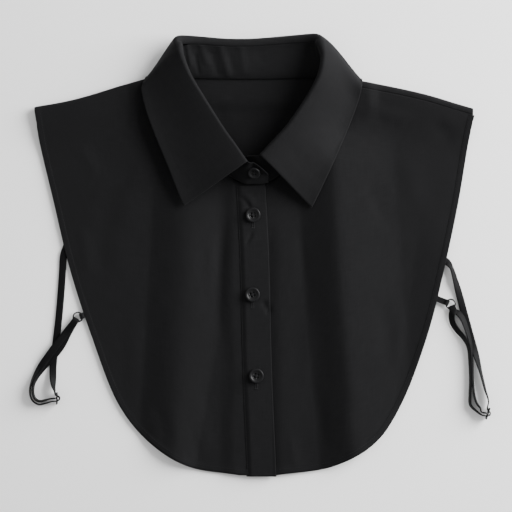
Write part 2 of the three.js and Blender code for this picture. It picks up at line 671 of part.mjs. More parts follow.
// A round button with a raised rim, a dished middle and four holes, its face towards +Z.
function buttonGeometry(diameter) {
  const radius = diameter / 2;
  const half = BUTTON_THICKNESS / 2;
  const profile = [
    [0, -half],
    [radius * 0.72, -half],
    [radius, -half * 0.25],
    [radius, half * 0.6],
    [radius * 0.86, half],
    [radius * 0.68, half],
    [radius * 0.58, half * 0.3],
    [0, half * 0.15],
  ].map(([r, z]) => new THREE.Vector2(r, z));
  const body = new THREE.LatheGeometry(profile, 20);
  body.rotateX(Math.PI / 2);
  let solid = toSolid(body);
  const holeRadius = diameter * 0.07;
  const holeOut = diameter * 0.13;
  for (let i = 0; i < 4; i += 1) {
    const angle = Math.PI / 4 + (i * Math.PI) / 2;
    const hole = new THREE.CylinderGeometry(holeRadius, holeRadius, BUTTON_THICKNESS * 2, 8);
    hole.rotateX(Math.PI / 2);
    hole.translate(holeOut * Math.cos(angle), holeOut * Math.sin(angle), 0);
    solid = solid.subtract(toSolid(hole));
  }
  return toGeometry(solid);
}

// ---------- side straps

// A place on a strap: its middle, and how far it leans about its own length.
const leanRise = (lean) => {
  const turned = THREE.MathUtils.degToRad(Math.abs(lean));
  return (STRAP_WIDTH / 2) * Math.sin(turned) + (STRAP_WALL / 2) * Math.cos(turned);
};
const strapPlace = (x, y, lift, lean, side) => ({
  at: vec(x, y, lift + leanRise(lean)), lean, width: 1, side,
});

function inSlider({ x, y, z, heading }, { across, along }) {
  const turned = THREE.MathUtils.degToRad(heading);
  const u = vec(Math.cos(turned), Math.sin(turned), 0);
  const n = vec(u.y, -u.x, 0);
  return vec(x, y, z).addScaledVector(u, along).addScaledVector(n, across);
}

const RING_TURN = 1.9;         // radius of a strap's turn round the wire
const RING_SHARE = 0.76;       // the strap is drawn together to this share of its width there

// The strap's turn round the ring: from above the wire, through the ring, to below it.
function ringTurn(ring) {
  const turned = THREE.MathUtils.degToRad(ring.strapHeading);
  const out = vec(Math.cos(turned), Math.sin(turned), 0);
  const wire = vec(ring.x, ring.y, ring.z).addScaledVector(out, RING_RADIUS - 0.3);
  return [-1.2, 0, 0.25, 0.5, 0.75, 1, 2.2].map((t) => {
    const angle = Math.PI * THREE.MathUtils.clamp(t, 0, 1);
    const before = Math.max(0, -t) + Math.max(0, t - 1);
    const at = wire.clone()
      .addScaledVector(out, before * 1.6 - RING_TURN * Math.sin(angle))
      .add(vec(0, 0, RING_TURN * Math.cos(angle)));
    return { at, lean: 0, width: RING_SHARE, level: vec(out.y, -out.x, 0) };
  });
}

function strapRoute(strap) {
  const { single, pair, slider, ring } = strap;
  const run = (side) => pair.map((row, i) => {
    const before = pair[Math.max(0, i - 1)];
    const after = pair[Math.min(pair.length - 1, i + 1)];
    const along = vec(after.x - before.x, after.y - before.y, 0).normalize();
    const lift = side > 0 ? row.liftOut : row.liftBack;
    const x = row.x - (along.y * side * row.spread) / 2;
    const y = row.y + (along.x * side * row.spread) / 2;
    return strapPlace(x, y, lift, row.lean, side);
  });
  const standing = (side) => (row) => ({ at: inSlider(slider, row), lean: -88, width: 1, side });
  return [
    ...single.map(({ x, y, lift, lean }) => strapPlace(x, y, lift, lean, 1)),
    ...WEAVE.map(standing(1)),
    ...run(1),
    ...ringTurn(ring),
    ...run(-1).reverse(),
    ...RETURN_END.map(standing(-1)),
  ];
}

// A flat strap swept along its places; its section keeps its lean all the way.
function strapGeometry(places, stepsPerPlace) {
  const curve = new THREE.CatmullRomCurve3(places.map(({ at }) => at), false, 'centripetal');
  const count = (places.length - 1) * stepsPerPlace;
  const positions = [];
  const index = [];
  for (let i = 0; i <= count; i += 1) {
    const t = i / count;
    const before = Math.min(Math.floor(t * (places.length - 1)), places.length - 2);
    const within = t * (places.length - 1) - before;
    const lean = THREE.MathUtils.degToRad(mix(places[before].lean, places[before + 1].lean, within));
    const width = STRAP_WIDTH * mix(places[before].width, places[before + 1].width, within);
    const at = curve.getPoint(t);
    at.z = Math.max(at.z, (width / 2) * Math.abs(Math.sin(lean)) + STRAP_WALL / 2 + 0.05);
    const along = curve.getTangent(t);
    const flat = vec(-along.y, along.x, 0).normalize().multiplyScalar(places[before].side ?? 1);
    const level = places[before].level ?? flat;
    const up = along.clone().cross(level).normalize();
    const wide = level.clone().multiplyScalar(Math.cos(lean)).addScaledVector(up, Math.sin(lean));
    const thick = along.clone().cross(wide).normalize();
    [[1, 1], [-1, 1], [-1, -1], [1, -1]].forEach(([a, b]) => {
      const corner = at.clone().addScaledVector(wide, (a * width) / 2)
        .addScaledVector(thick, (b * STRAP_WALL) / 2);
      positions.push(corner.x, corner.y, corner.z);
    });
    if (i > 0) {
      for (let k = 0; k < 4; k += 1) {
        const a = 4 * (i - 1) + k;
        const b = 4 * (i - 1) + ((k + 1) % 4);
        index.push(a, b, b + 4, a, b + 4, a + 4);
      }
    }
  }
  const end = 4 * count;
  index.push(0, 3, 2, 0, 2, 1, end, end + 1, end + 2, end, end + 2, end + 3);
  const geometry = new THREE.BufferGeometry();
  geometry.setAttribute('position', new THREE.Float32BufferAttribute(positions, 3));
  geometry.setIndex(index);
  return geometry;
}

function ringGeometry({ x, y, z }) {
  return new THREE.TorusGeometry(RING_RADIUS, WIRE_RADIUS, 6, 18).translate(x, y, z);
}

// The sewn tab that holds a ring: an eye round the wire and a tail to the panel's edge.
const TAB = { eye: 1.2, outer: 2.15, tail: 0.8, width: 5 };
function tabGeometry({ x, y, z, tabHeading, tabLength }) {
  const shape = new THREE.Shape();
  const spread = Math.asin(TAB.tail / TAB.outer);
  shape.absarc(0, 0, TAB.outer, spread, 2 * Math.PI - spread, false);
  shape.lineTo(tabLength - RING_RADIUS, -TAB.tail);
  shape.lineTo(tabLength - RING_RADIUS, TAB.tail);
  const eye = new THREE.Path();
  eye.absarc(0, 0, TAB.eye, 0, 2 * Math.PI, true);
  shape.holes.push(eye);
  const tab = new THREE.ExtrudeGeometry(shape, {
    depth: TAB.width, bevelEnabled: false, curveSegments: 10,
  });
  tab.translate(RING_RADIUS - 0.35, 0, -TAB.width / 2);
  tab.rotateX(Math.PI / 2);
  tab.rotateZ(THREE.MathUtils.degToRad(tabHeading));
  return tab.translate(x, y, z);
}

// The slider: a plate with two slots on each side of its middle bar, standing on edge.
function sliderGeometry({ x, y, z, heading }) {
  const { length, width, thickness, bar, rail } = SLIDER;
  const plate = new THREE.Shape();
  const corner = 1;
  plate.moveTo(-length / 2 + corner, -width / 2);
  plate.lineTo(length / 2 - corner, -width / 2);
  plate.lineTo(length / 2, -width / 2 + corner);
  plate.lineTo(length / 2, width / 2 - corner);
  plate.lineTo(length / 2 - corner, width / 2);
  plate.lineTo(-length / 2 + corner, width / 2);
  plate.lineTo(-length / 2, width / 2 - corner);
  plate.lineTo(-length / 2, -width / 2 + corner);
  const slider = new THREE.ExtrudeGeometry(plate, { depth: thickness, bevelEnabled: false });
  slider.translate(0, 0, -thickness / 2);
  let solid = toSolid(slider);
  const slotLength = length / 2 - bar - bar / 2;
  [-1, 1].forEach((side) => {
    const slot = new THREE.BoxGeometry(slotLength, width - 2 * rail, thickness * 2);
    slot.translate((side * (bar + slotLength)) / 2, 0, 0);
    solid = solid.subtract(toSolid(slot));
  });
  const cut = toGeometry(solid);
  cut.rotateX(Math.PI / 2);
  cut.rotateZ(THREE.MathUtils.degToRad(heading));
  return cut.translate(x, y, z);
}

// ---------- parts in the scene

const cloth = (color) => new THREE.MeshStandardMaterial({ color, roughness: 0.92, metalness: 0 });
const polished = (color) => new THREE.MeshStandardMaterial({ color, roughness: 0.3, metalness: 0 });
const collar = new THREE.Group();

function place(name, geometry, material) {
  const mesh = new THREE.Mesh(geometry, material);
  mesh.name = name;
  collar.add(mesh);
  return mesh;
}

place('back', backPanel(), cloth(0x1f1f20));
place('front_right', rightFront(), cloth(0x1e1e1f));
place('front_left', leftFront(), cloth(0x242425));
place('button_band', buttonBand(), cloth(0x1e1e1f));
place('collar_stand', collarStand(), cloth(0x1b1b1c));
place('collar_leaf', collarLeaf(), cloth(0x232324));

BUTTONS.forEach(({ name, x, y }) => {
  const button = place(name, buttonGeometry(BUTTON_DIAMETER), polished(0x2c2c2e));
  const level = bandLevel(x, y) + PANEL_WALL / 2 + GAP + 0.1 + BUTTON_THICKNESS / 2;
  button.position.set(x, y, level);
});

// The collar button lies on the slope of the stand's upper end.
const [overStart, overMiddle] = overEnd;
const slopeUp = overStart[3].clone().sub(overStart[1]).normalize();
const slopeOn = overMiddle[2].clone().sub(overStart[2]).normalize();
const facing = slopeOn.clone().cross(slopeUp).normalize();
const seat = overStart[2].clone().add(vec(1.2, 0, 0))
  .addScaledVector(facing, STAND_WALL / 2 + GAP + 0.5 + BUTTON_THICKNESS / 2);
const collarButton = place('button_collar', buttonGeometry(COLLAR_BUTTON_DIAMETER), polished(0x2c2c2e));
collarButton.position.copy(seat);
collarButton.quaternion.setFromUnitVectors(vec(0, 0, 1), facing);

STRAPS.forEach((strap) => {
  const { side, slider, ring } = strap;
  place(`strap_${side}`, strapGeometry(strapRoute(strap), 2), cloth(0x202021));
  place(`slider_${side}`, sliderGeometry(slider), polished(0x1a1a1b));
  place(`ring_${side}`, ringGeometry(ring), polished(0x8c8c8c));
  place(`tab_${side}`, tabGeometry(ring), cloth(0x202021));
});

export default collar;
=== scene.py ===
# Looks of the detachable shirt collar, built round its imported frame.
# Sizes are worked out in millimetres and become metres when a mesh is made.
import math

import bpy
import numpy as np
from mathutils import Matrix, Vector


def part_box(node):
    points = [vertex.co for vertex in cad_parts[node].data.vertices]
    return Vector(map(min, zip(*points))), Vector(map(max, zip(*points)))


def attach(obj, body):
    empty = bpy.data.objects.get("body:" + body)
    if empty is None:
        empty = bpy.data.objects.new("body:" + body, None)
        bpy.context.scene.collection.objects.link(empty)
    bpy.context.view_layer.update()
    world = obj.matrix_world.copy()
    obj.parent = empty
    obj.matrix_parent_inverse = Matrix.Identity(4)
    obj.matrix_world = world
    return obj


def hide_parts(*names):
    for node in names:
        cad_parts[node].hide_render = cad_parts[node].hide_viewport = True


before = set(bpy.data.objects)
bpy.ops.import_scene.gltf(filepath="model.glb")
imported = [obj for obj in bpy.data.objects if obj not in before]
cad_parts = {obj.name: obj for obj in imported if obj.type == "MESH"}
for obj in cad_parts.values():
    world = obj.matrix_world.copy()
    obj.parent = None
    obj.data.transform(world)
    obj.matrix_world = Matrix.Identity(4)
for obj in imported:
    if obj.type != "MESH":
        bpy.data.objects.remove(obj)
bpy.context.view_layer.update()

MM = 0.001

# ---------- sizes that the solids also have
PANEL_WALL = 1.0
LEAF_WALL = 1.4
GAP = 0.3                # room between two layers of cloth
TURN = 2.6               # radius of the cloth's turn over each shoulder
HEM_Y = -186.0           # foot of the hem
LOFT_REACH = 45.0        # the fronts come down from the shoulder over this distance
LEAF_UNDER_BACK = 2.3    # how far the leaf lifts the back at the neck
BAND_WIDTH = 25.0
BAND_DROP = 1.0          # the button band hangs this far below the hem
UNDER_FRONT_EDGE = -12.0
OVER_LIFT = 1.8          # the stand's upper end lies this far above the lower one
TIP_LEAN = 1.6           # outward lean of the shoulder tips
NECK_HALF = 69.0         # half the width of the neck opening
SEAM_ANGLE = 105.0       # where the shoulder seam lies on the turn, in degrees
SEAM_FORWARD = 2.6       # and, on the wearer's left, how far past the turn
SEAM_GAP_ANGLE = 12.0    # room between the two seam edges, in degrees
FLAT_STEP = 0.25
FRONT_LEVEL = PANEL_WALL * 1.5 + GAP
FOLD_MIDDLE = -40.0      # height at which a fold's line may bend
FOLD_RISE = 45.0         # a fold grows to its full height over this distance
STRAP_WIDTH = 6.0
STRAP_WALL = 1.2
RING_RADIUS = 4.0

# ---------- sizes of the real cloth and its sewing
CLOTH = 0.55             # wall of a panel as it is seen
COLLAR_CLOTH = 0.75      # wall of the interfaced stand and leaf
HEM_FOLD = 5.2           # width of the narrow rolled hem
HEM_STITCH = 4.4         # stitch line from the hem's edge
STITCH = 2.3             # stitch pitch of the topstitching
THREAD = 0.2             # radius of the sewing thread
STITCH_LIFT = CLOTH / 2 + 0.1   # stitches lie this far out from a panel's middle
BAND_STITCH_IN = 1.0     # stitch line from the band's inner edge
BUTTON_THICK = 2.4
SHIRT_BUTTON = 12.5      # diameters
COLLAR_BUTTON = 10.5
HOLE_PLACE = 0.13        # of a button's diameter, from its middle
HOLE_RADIUS = 0.07


def table(names, rows):
    """Rows of numbers as a dictionary of columns."""
    columns = np.array(rows, float).T
    return dict(zip(names.split(), columns))


def rows_of(columns):
    return zip(*columns.values())


# Armhole and hem: the edge's x on each side, going down.
EDGE = table("y left right", [
    (113, -184.5, 185.2), (97, -182, 182), (46, -170, 173.5), (-10, -156.5, 161.5),
    (-66, -138.5, 147.5), (-127.5, -114, 124), (-158, -89, 103), (-178.5, -56, 67),
    (HEM_Y, -12, 19),
])
SHOULDER = table("x y", [
    (-186, 126), (-153, 132.5), (-99.5, 148), (-69, 154.5),
    (69, 151.8), (93, 148), (143.5, 137.5), (187.5, 124),
])
NECK_FRONT = table("x y", [
    (0, 59.5), (12, 61.5), (30, 76), (48, 104), (61, 132), (69, 148.5),
])
NECK_BACK = table("x y", [(0, 149.2), (54, 150.2), (69, 152)])
BAND = table("y x", [(HEM_Y - BAND_DROP, 6.3), (-100, 2.6), (0, 0), (59, -3)])
# Each fold's line at its top, middle and foot, its height, and its reach to both sides.
# crest rounds its ridge, and low is the share of its right reach that is left at the hem.
FOLDS = table("top topX midX endX height leftReach rightReach crest low", [
    (75, -55, -62, -70, 4.8, 30, 35, 13, 0.62),
    (122, 65, 75, 88, 8, 32, 54, 5, 1),
    (50, 22.5, 23, 25.5, 1.1, 9.5, 24, 7, 1),
    (40, 172, 160, 142, 2.4, 30, 20, 8, 1),
])
BUTTONS = table("x y", [(-0.8, 34.8), (-1.3, -32.7), (2, -101.7)])

# The collar from the wearer's right end round the neck to the left end: the middle of its
# turn, its neck seam, the leaf's edge (on the fronts where edgeZ is below 0), the turn's
# radius, and the angles at which the stand meets the turn and the leaf leaves it.
COLLAR = table("turnX turnY turnZ seamX seamY edgeX edgeY edgeZ round rise fall", [
    (-7, 79, 22, -9.5, 62, -59.5, 42.5, 10.5, 1.6, 95, -4),
    (-17, 93.5, 21, -21, 68.5, -65.5, 57, 10.8, 1.6, 95, -6),
    (-27, 107.5, 20.5, -33.5, 82.5, -73, 76.5, 11.2, 1.6, 95, -8),
    (-41, 129.5, 21, -47.5, 107, -83, 100.5, 11.5, 1.7, 95, -11),
    (-54.5, 151.5, 22.5, -58.5, 132.5, -91, 122.5, 12, 2, 95, -16),
    (-61.5, 168, 22.8, -62, 145.5, -95, 139.5, 12, 2.4, 90, -28),
    (-63.5, 175.5, 20.5, -62, 148.8, -93.8, 146.5, 10.5, 3, 84, -44),
    (-64.6, 179.8, 17.8, -61, 150, -91.5, 150.5, 6, 3.4, 76, -66),
    (-64, 182, 14.6, -59.5, 150.6, -89.5, 149.5, 1.6, 3.8, 66, -90),
    (-58.6, 182.4, 9.8, -55, 150.8, -84, 143, 0.8, 4.2, 48, -120),
    (-46, 181.6, 6.6, -43, 150.6, -63, 140.5, 0.8, 4.3, 34, -150),
    (-25, 179.8, 5.6, -25, 150.4, -34, 139.8, 0.8, 4.4, 28, -165),
    (-5, 179.6, 5.4, -5, 150.2, -5, 139.5, 0.8, 4.4, 26, -168),
    (14, 180.8, 5.6, 18, 150.4, 24, 139.5, 0.8, 4.4, 28, -165),
    (31, 182.4, 6.6, 39, 150.8, 50, 139.5, 0.8, 4.3, 34, -150),
    (45.5, 183.6, 9.6, 50.5, 150.8, 70, 139, 0.8, 4.2, 48, -120),
    (52.5, 183.8, 15, 57, 150.6, 87, 142, 1, 3.8, 66, -88),
    (55.5, 181.5, 19, 60, 150, 91.2, 148.4, 3.3, 3.4, 76, -64),
    (57.5, 177, 22, 61.8, 148.5, 91.5, 148, 7.5, 3, 84, -46),
    (59, 168, 25.5, 62, 145, 91, 142.5, 11, 2.6, 90, -30),
    (56, 152, 27, 58.5, 131, 87, 127.5, -1, 2.4, 95, -24),
    (46.5, 134, 26, 48.5, 107, 77.5, 103, -1, 2.3, 95, -18),
    (30.5, 110.5, 24.5, 33.5, 82.5, 67, 79, -1, 2.2, 95, -12),
    (18, 96.5, 23.5, 21, 68.5, 57.5, 58.5, -1, 2.2, 95, -8),
    (6.5, 84, 22.5, 9.5, 62, 49, 41, -1, 2.2, 95, -4),
])
# Ends of the stand past the leaf: the one buttoned over, then the one under it.
STAND_OVER = table("footX footY topX topY topZ", [
    (-2, 61.2, 0, 78.5, 20.5), (5, 61.4, 5.8, 74.5, 20.2), (12, 62.2, 11.4, 69.4, 18),
])
STAND_UNDER = table("footX footY topX topY topZ", [
    (2.5, 63.5, -1, 84.5, 18.6), (-5, 63.5, -6.5, 84, 15.6), (-12, 64.5, -12, 81, 12.6),
])

# Creases pressed or worn into the cloth, each from one end to the other, in millimetres.
# Below 0 a crease is a trough; width is the distance from its middle to where it ends.
FRONT_CREASES = table("x0 y0 x1 y1 width height bow", [
    (-14, 52, -2, 38, 3.4, -0.9, 1.5),
    (-12, 50, 2, 45, 5, 0.5, -1),
    (-1, 22, -8, 9, 2.6, -0.5, 0.8),
    (6, -36, 13, -52, 4.2, -0.8, 1),
    (14, -38, 7, -50, 3, 0.35, 0),
    (-26, 40, -31, -72, 8, -0.9, -1.5),
    (-42, 28, -34, -70, 10, -0.4, -4),
    (-92, 96, -118, 20, 16, 0.6, 5),
    (-120, 60, -128, -30, 14, -0.5, -4),
    (-152, 96, -132, 60, 9, 0.4, 3),
    (-96, -40, -100, -120, 12, 0.4, -4),
    (-84, -120, -74, -168, 8, -0.5, 2),
    (-46, -110, -40, -176, 9, 0.45, -2),
    (-24, -60, -22, -140, 7, -0.35, 2),
    (36, 30, 42, -30, 6, -0.4, 1.5),
    (46, -40, 40, -120, 9, 0.45, 3),
    (56, -110, 62, -170, 8, -0.5, -2),
    (100, 70, 118, 20, 11, -0.45, -4),
    (122, 90, 136, 30, 15, 0.5, 5),
    (104, -30, 112, -90, 12, -0.5, 3),
    (128, -40, 122, -100, 9, 0.5, -2),
    (76, -120, 74, -172, 8, 0.4, 2),
    (150, 116, 168, 92, 10, -0.5, 2),
    (96, 128, 140, 116, 9, 0.45, -3),
    (-150, 30, -140, -20, 8, 0.4, 2),
    (30, -150, 34, -182, 6, 0.4, 1),
])
BACK_CREASES = table("x0 y0 x1 y1 width height bow", [
    (-110, 90, -60, -60, 16, 0.4, 6),
    (-20, 120, -8, 60, 9, 0.5, 3),
    (14, 128, 30, 90, 7, -0.35, -2),
    (100, 100, 80, -20, 15, 0.35, -6),
    (-40, -60, -30, -160, 14, 0.4, 4),
    (50, -40, 60, -150, 13, 0.35, -4),
    (-34, 140, -26, 96, 6, -0.3, 2),
])


def mix(a, b, t):
    return a + (b - a) * t


def ease(t):
    t = np.clip(t, 0, 1)
    return t * t * (3 - 2 * t)


def reader(columns, key, value):
    """A smooth curve through a table's rows that never swings past them."""
    xs, ys = columns[key], columns[value]
    if xs[0] > xs[-1]:
        xs, ys = xs[::-1], ys[::-1]
    steps = np.diff(ys) / np.diff(xs)
    before, after = steps[:-1], steps[1:]
    both = before * after
    inner = np.where(both > 0, 2 * both / np.where(both > 0, before + after, 1), 0)
    slopes = np.concatenate([steps[:1], inner, steps[-1:]])

    def read(x):
        x = np.asarray(x, float)
        i = np.clip(np.searchsorted(xs, x, side="right") - 1, 0, len(xs) - 2)
        width = xs[i + 1] - xs[i]
        t = np.clip((x - xs[i]) / width, 0, 1)
        return (
            (1 + 2 * t) * (1 - t) ** 2 * ys[i]
            + t * (1 - t) ** 2 * width * slopes[i]
            + t * t * (3 - 2 * t) * ys[i + 1]
            + t * t * (t - 1) * width * slopes[i + 1]
        )

    return read


shoulder_line = reader(SHOULDER, "x", "y")
neck_front = reader(NECK_FRONT, "x", "y")
neck_back = reader(NECK_BACK, "x", "y")
band_centre = reader(BAND, "y", "x")


def through(points, even=True):
    """A curve through points (n, k); t counts the points. Not even: spaced by distance."""
    points = np.asarray(points, float)
    ends = (2 * points[:1] - points[1:2], 2 * points[-1:] - points[-2:-1])
    padded = np.concatenate([ends[0], points, ends[1]])

    def at(t):
        t = np.clip(np.asarray(t, float), 0, len(points) - 1)
        i = np.minimum(t.astype(int), len(points) - 2)
        w = (t - i)[..., None]
        p0, p1, p2, p3 = padded[i], padded[i + 1], padded[i + 2], padded[i + 3]
        if even:
            m1, m2 = (p2 - p0) / 2, (p3 - p1) / 2
        else:
            d0, d1, d2 = (
                np.maximum(((b - a) ** 2).sum(-1), 1e-9)[..., None] ** 0.25
                for a, b in ((p0, p1), (p1, p2), (p2, p3))
            )
            m1 = ((p1 - p0) / d0 - (p2 - p0) / (d0 + d1) + (p2 - p1) / d1) * d1
            m2 = ((p2 - p1) / d1 - (p3 - p1) / (d1 + d2) + (p3 - p2) / d2) * d1
        return (
            p1 + m1 * w + (-3 * p1 + 3 * p2 - 2 * m1 - m2) * w**2
            + (2 * p1 - 2 * p2 + m1 + m2) * w**3
        )

    return at


def side_curve(side):
    rows = np.column_stack([EDGE[side], EDGE["y"]])
    return through(rows, even=False)(np.linspace(0, len(rows) - 1, 1600))


SIDE = {"left": side_curve("left"), "right": side_curve("right")}


def lower_edge(x):
    """Level of the armhole and hem edge below a place x."""
    x = np.asarray(x, float)
    left, right = SIDE["left"], SIDE["right"]
    on_left = np.interp(x, left[:, 0], left[:, 1])
    on_right = np.interp(-x, -right[:, 0], right[:, 1])
    low = np.where(x < 0, on_left, on_right)
    return np.where((x >= EDGE["left"][-1]) & (x <= EDGE["right"][-1]), HEM_Y, low)


def creases(x, y, rows):
    """Soft troughs and ridges, each along a bowed line and fading at its ends."""
    total = np.zeros(np.broadcast(x, y).shape)
    for x0, y0, x1, y1, width, height, bow in rows_of(rows):
        long = math.hypot(x1 - x0, y1 - y0)
        ux, uy = (x1 - x0) / long, (y1 - y0) / long
        along = ((x - x0) * ux + (y - y0) * uy) / long
        bowed = bow * 4 * along * (1 - along)
        across = ((x - x0) * -uy + (y - y0) * ux - bowed) / width
        fade = ease(along / 0.35) * ease((1 - along) / 0.35)
        shape = np.exp(-2.2 * across**2) - 0.3 * np.exp(-1.6 * (across - 1.3) ** 2)
        total = total + height * fade * shape
    return total


def back_rise(x, y):
    """The back is lifted a little along the neck, where the leaf tucks under it."""
    return LEAF_UNDER_BACK * ease((108 - np.abs(x)) / 12) * ease((y - 120) / 13)


def back_level(x, y):
    return PANEL_WALL / 2 + back_rise(x, y)


def fold_heights(x, y):
    """Long soft folds of the fronts: each grows below its top and runs on to the hem."""
    total = np.zeros(np.broadcast(x, y).shape)
    for top, top_x, mid_x, end_x, height, left, right, round_, low in rows_of(FOLDS):
        down = np.maximum((top - y) / (top - FOLD_MIDDLE), 0)
        lower = (FOLD_MIDDLE - y) / (FOLD_MIDDLE - HEM_Y)
        crest = np.where(y > FOLD_MIDDLE, mix(top_x, mid_x, down), mix(mid_x, end_x, lower))
        reach = np.where(x < crest, left, right * mix(1, low, ease(lower)))
        away = np.hypot(x - crest, round_) - round_
        left_over = 1 - np.minimum(away / (np.hypot(reach, round_) - round_), 1)
        grown = ease((top - y) / FOLD_RISE)
        total = total + height * grown * 1.15 * left_over**2 / (left_over + 0.15)
    return total


def front_level(x, y):
    """Middle of the under front: up over the back at the shoulder, with the folds below."""
    ridge = shoulder_line(x) - TURN
    top = PANEL_WALL / 2 + back_rise(x, ridge) + 2 * TURN
    away = np.clip((ridge - y) / LOFT_REACH, 0, 1)
    loft = (top - FRONT_LEVEL) * (1 - away) ** 2 * (1 + 2 * away)
    return FRONT_LEVEL + loft + fold_heights(x, y)


def over_level(x, y):
    """Middle of the over front, which climbs onto the under front near the button band."""
    return front_level(x, y) + (PANEL_WALL + 2.6 * GAP) * ease((x + 30) / 14)


def calm(x, y):
    """Creases fade out at the shoulder, where the cloth is held."""
    return ease((shoulder_line(x) - y - 8) / 14)


def front_surface(x, y, level):
    return level(x, y) + creases(x, y, FRONT_CREASES) * calm(x, y)


# ---------- closed walls of cloth

def add_object(name, mesh, material=None):
    piece = bpy.data.objects.new(name, mesh)
    bpy.context.scene.collection.objects.link(piece)
    if material is not None:
        mesh.materials.append(material)
    return piece


def shade_softly(mesh):
    mesh.polygons.foreach_set("use_smooth", np.ones(len(mesh.polygons), bool))
    mesh.update()


def plain_mesh(piece):
    """The plain mesh that an object's modifiers give."""
    bpy.context.view_layer.update()
    return bpy.data.meshes.new_from_object(
        piece.evaluated_get(bpy.context.evaluated_depsgraph_get())
    )


def add_uv(mesh, places):
    """Lays the cloth's own flat places, one for each vertex, in metres, on a mesh."""
    loops = np.zeros(len(mesh.loops), int)
    mesh.loops.foreach_get("vertex_index", loops)
    mesh.uv_layers.new(name="cloth").data.foreach_set("uv", places[loops].ravel())


def unit(vectors):
    return vectors / np.maximum(np.linalg.norm(vectors, axis=-1, keepdims=True), 1e-9)


def run_along(line):
    """How far along a line each of its points is."""
    lengths = np.linalg.norm(np.diff(line, axis=0), axis=1)
    return np.concatenate([[0], np.cumsum(lengths)])


def grid_normals(grid):
    return unit(np.cross(np.gradient(grid, axis=0), np.gradient(grid, axis=1)))


def rim_of(columns, rows):
    """Grid places round the outside of a sheet, in the sense its outer face turns."""
    low = [(c, 0) for c in range(columns - 1)]
    right = [(columns - 1, r) for r in range(rows - 1)]
    high = [(c, rows - 1) for c in range(columns - 1, 0, -1)]
    left = [(0, r) for r in range(rows - 1, 0, -1)]
    return np.array(low + right + high + left)


def cloth_shell(name, grid, wall, material, normals=None):
    """A closed wall round middle points grid[column][row], with a rounded outer edge."""
    columns, rows = grid.shape[:2]
    normals = grid_normals(grid) if normals is None else normals
    front = grid + normals * wall / 2
    back = grid - normals * wall / 2
    rim = rim_of(columns, rows)
    line = grid[rim[:, 0], rim[:, 1]]
    on = normals[rim[:, 0], rim[:, 1]]
    ahead = np.roll(line, -1, 0) - np.roll(line, 1, 0)
    edge = line + unit(np.cross(ahead, on)) * wall * 0.35
    points = np.concatenate([front.reshape(-1, 3), back.reshape(-1, 3), edge])
    count = columns * rows

    c, r = np.meshgrid(np.arange(columns - 1), np.arange(rows - 1), indexing="ij")
    a = (c * rows + r).ravel()
    b = ((c + 1) * rows + r).ravel()
    faces = [
        np.column_stack([a, b, b + 1, a + 1]),
        np.column_stack([a + 1, b + 1, b, a]) + count,
    ]
    here = rim[:, 0] * rows + rim[:, 1]
    then = np.roll(here, -1)
    mid = 2 * count + np.arange(len(rim))
    mid_then = np.roll(mid, -1)
    faces.append(np.column_stack([then, here, mid, mid_then]))
    faces.append(np.column_stack([mid_then, mid, here + count, then + count]))
    faces = np.concatenate(faces)

    mesh = bpy.data.meshes.new(name)
    mesh.from_pydata((points * MM).tolist(), [], faces.tolist())
    steps_c = np.linalg.norm(np.diff(grid, axis=0), axis=2).mean(1)
    steps_r = np.linalg.norm(np.diff(grid, axis=1), axis=2).mean(0)
    u = np.concatenate([[0], np.cumsum(steps_c)])
    v = np.concatenate([[0], np.cumsum(steps_r)])
    flat = np.stack(np.broadcast_arrays(u[:, None], v[None, :]), -1).reshape(-1, 2)
    rim_flat = np.column_stack([u[rim[:, 0]], v[rim[:, 1]]])
    add_uv(mesh, np.concatenate([flat, flat, rim_flat]) * MM)
    shade_softly(mesh)
    return add_object(name, mesh, material)


def edge_distance(points, line):
    """Distance from each point to an open line, and how far along the line that is."""
    flat = points.reshape(-1, 3)
    run = run_along(line)
    nearest = np.empty(len(flat))
    along = np.empty(len(flat))
    batch = 4000
    for start in range(0, len(flat), batch):
        part = slice(start, start + batch)
        gap = np.linalg.norm(flat[part, None, :] - line[None], axis=2)
        k = gap.argmin(1)
        nearest[part] = gap[np.arange(len(k)), k]
        along[part] = run[k]
    shape = points.shape[:-1]
    return nearest.reshape(shape), along.reshape(shape)


def even_line(points, step):
    """The same open line with points a given distance apart."""
    run = run_along(points)
    places = np.linspace(0, run[-1], max(2, round(run[-1] / step) + 1))
    return np.column_stack([np.interp(places, run, points[:, k]) for k in range(points.shape[1])])


def hem_relief(distance, along):
    """Rise of a narrow rolled hem, with its stitched groove and small puckers."""
    thick = 0.32 * ease((HEM_FOLD - distance) / 0.9)
    groove = -0.2 * np.exp(-(((distance - HEM_STITCH) / 0.55) ** 2))
    wave = np.sin(along / 1.9) + 0.7 * np.sin(along / 1.13 + 2) + 0.5 * np.sin(along / 3.7)
    held = np.exp(-(((distance - HEM_STITCH) / 2.6) ** 2))
    return thick + groove + 0.055 * wave * held


def place_columns(low, high, top, step):
    """Places for a panel's columns, closer together where an edge is steep."""
    places = [low]
    x = low
    while x < high - 0.01:
        ahead = min(x + step, high)

        def rise(n):
            return max(abs(top(n) - top(x)), abs(lower_edge(n) - lower_edge(x)) * 0.5)

        while rise(ahead) > 1.6 * step and ahead - x > 0.35:
            ahead = x + (ahead - x) * 0.85
        x = high if high - ahead < 0.3 else ahead
        places.append(x)
    return np.array(places)


def place_rows(count):
    """Shares of a column from the hem up, closer together near its top."""
    t = np.linspace(0, 1, count + 1)
    return t * (1.35 - 0.35 * t)


def turn_share(x):
    """0 across the neck and 1 along the shoulders, where the cloth turns over."""
    return ease((np.abs(x) - 65) / 8)


def tip_lean(x, share):
    """How far the shoulder tips lean outward."""
    return np.sign(x) * TIP_LEAN * ease((np.abs(x) - 165) / 20) * share


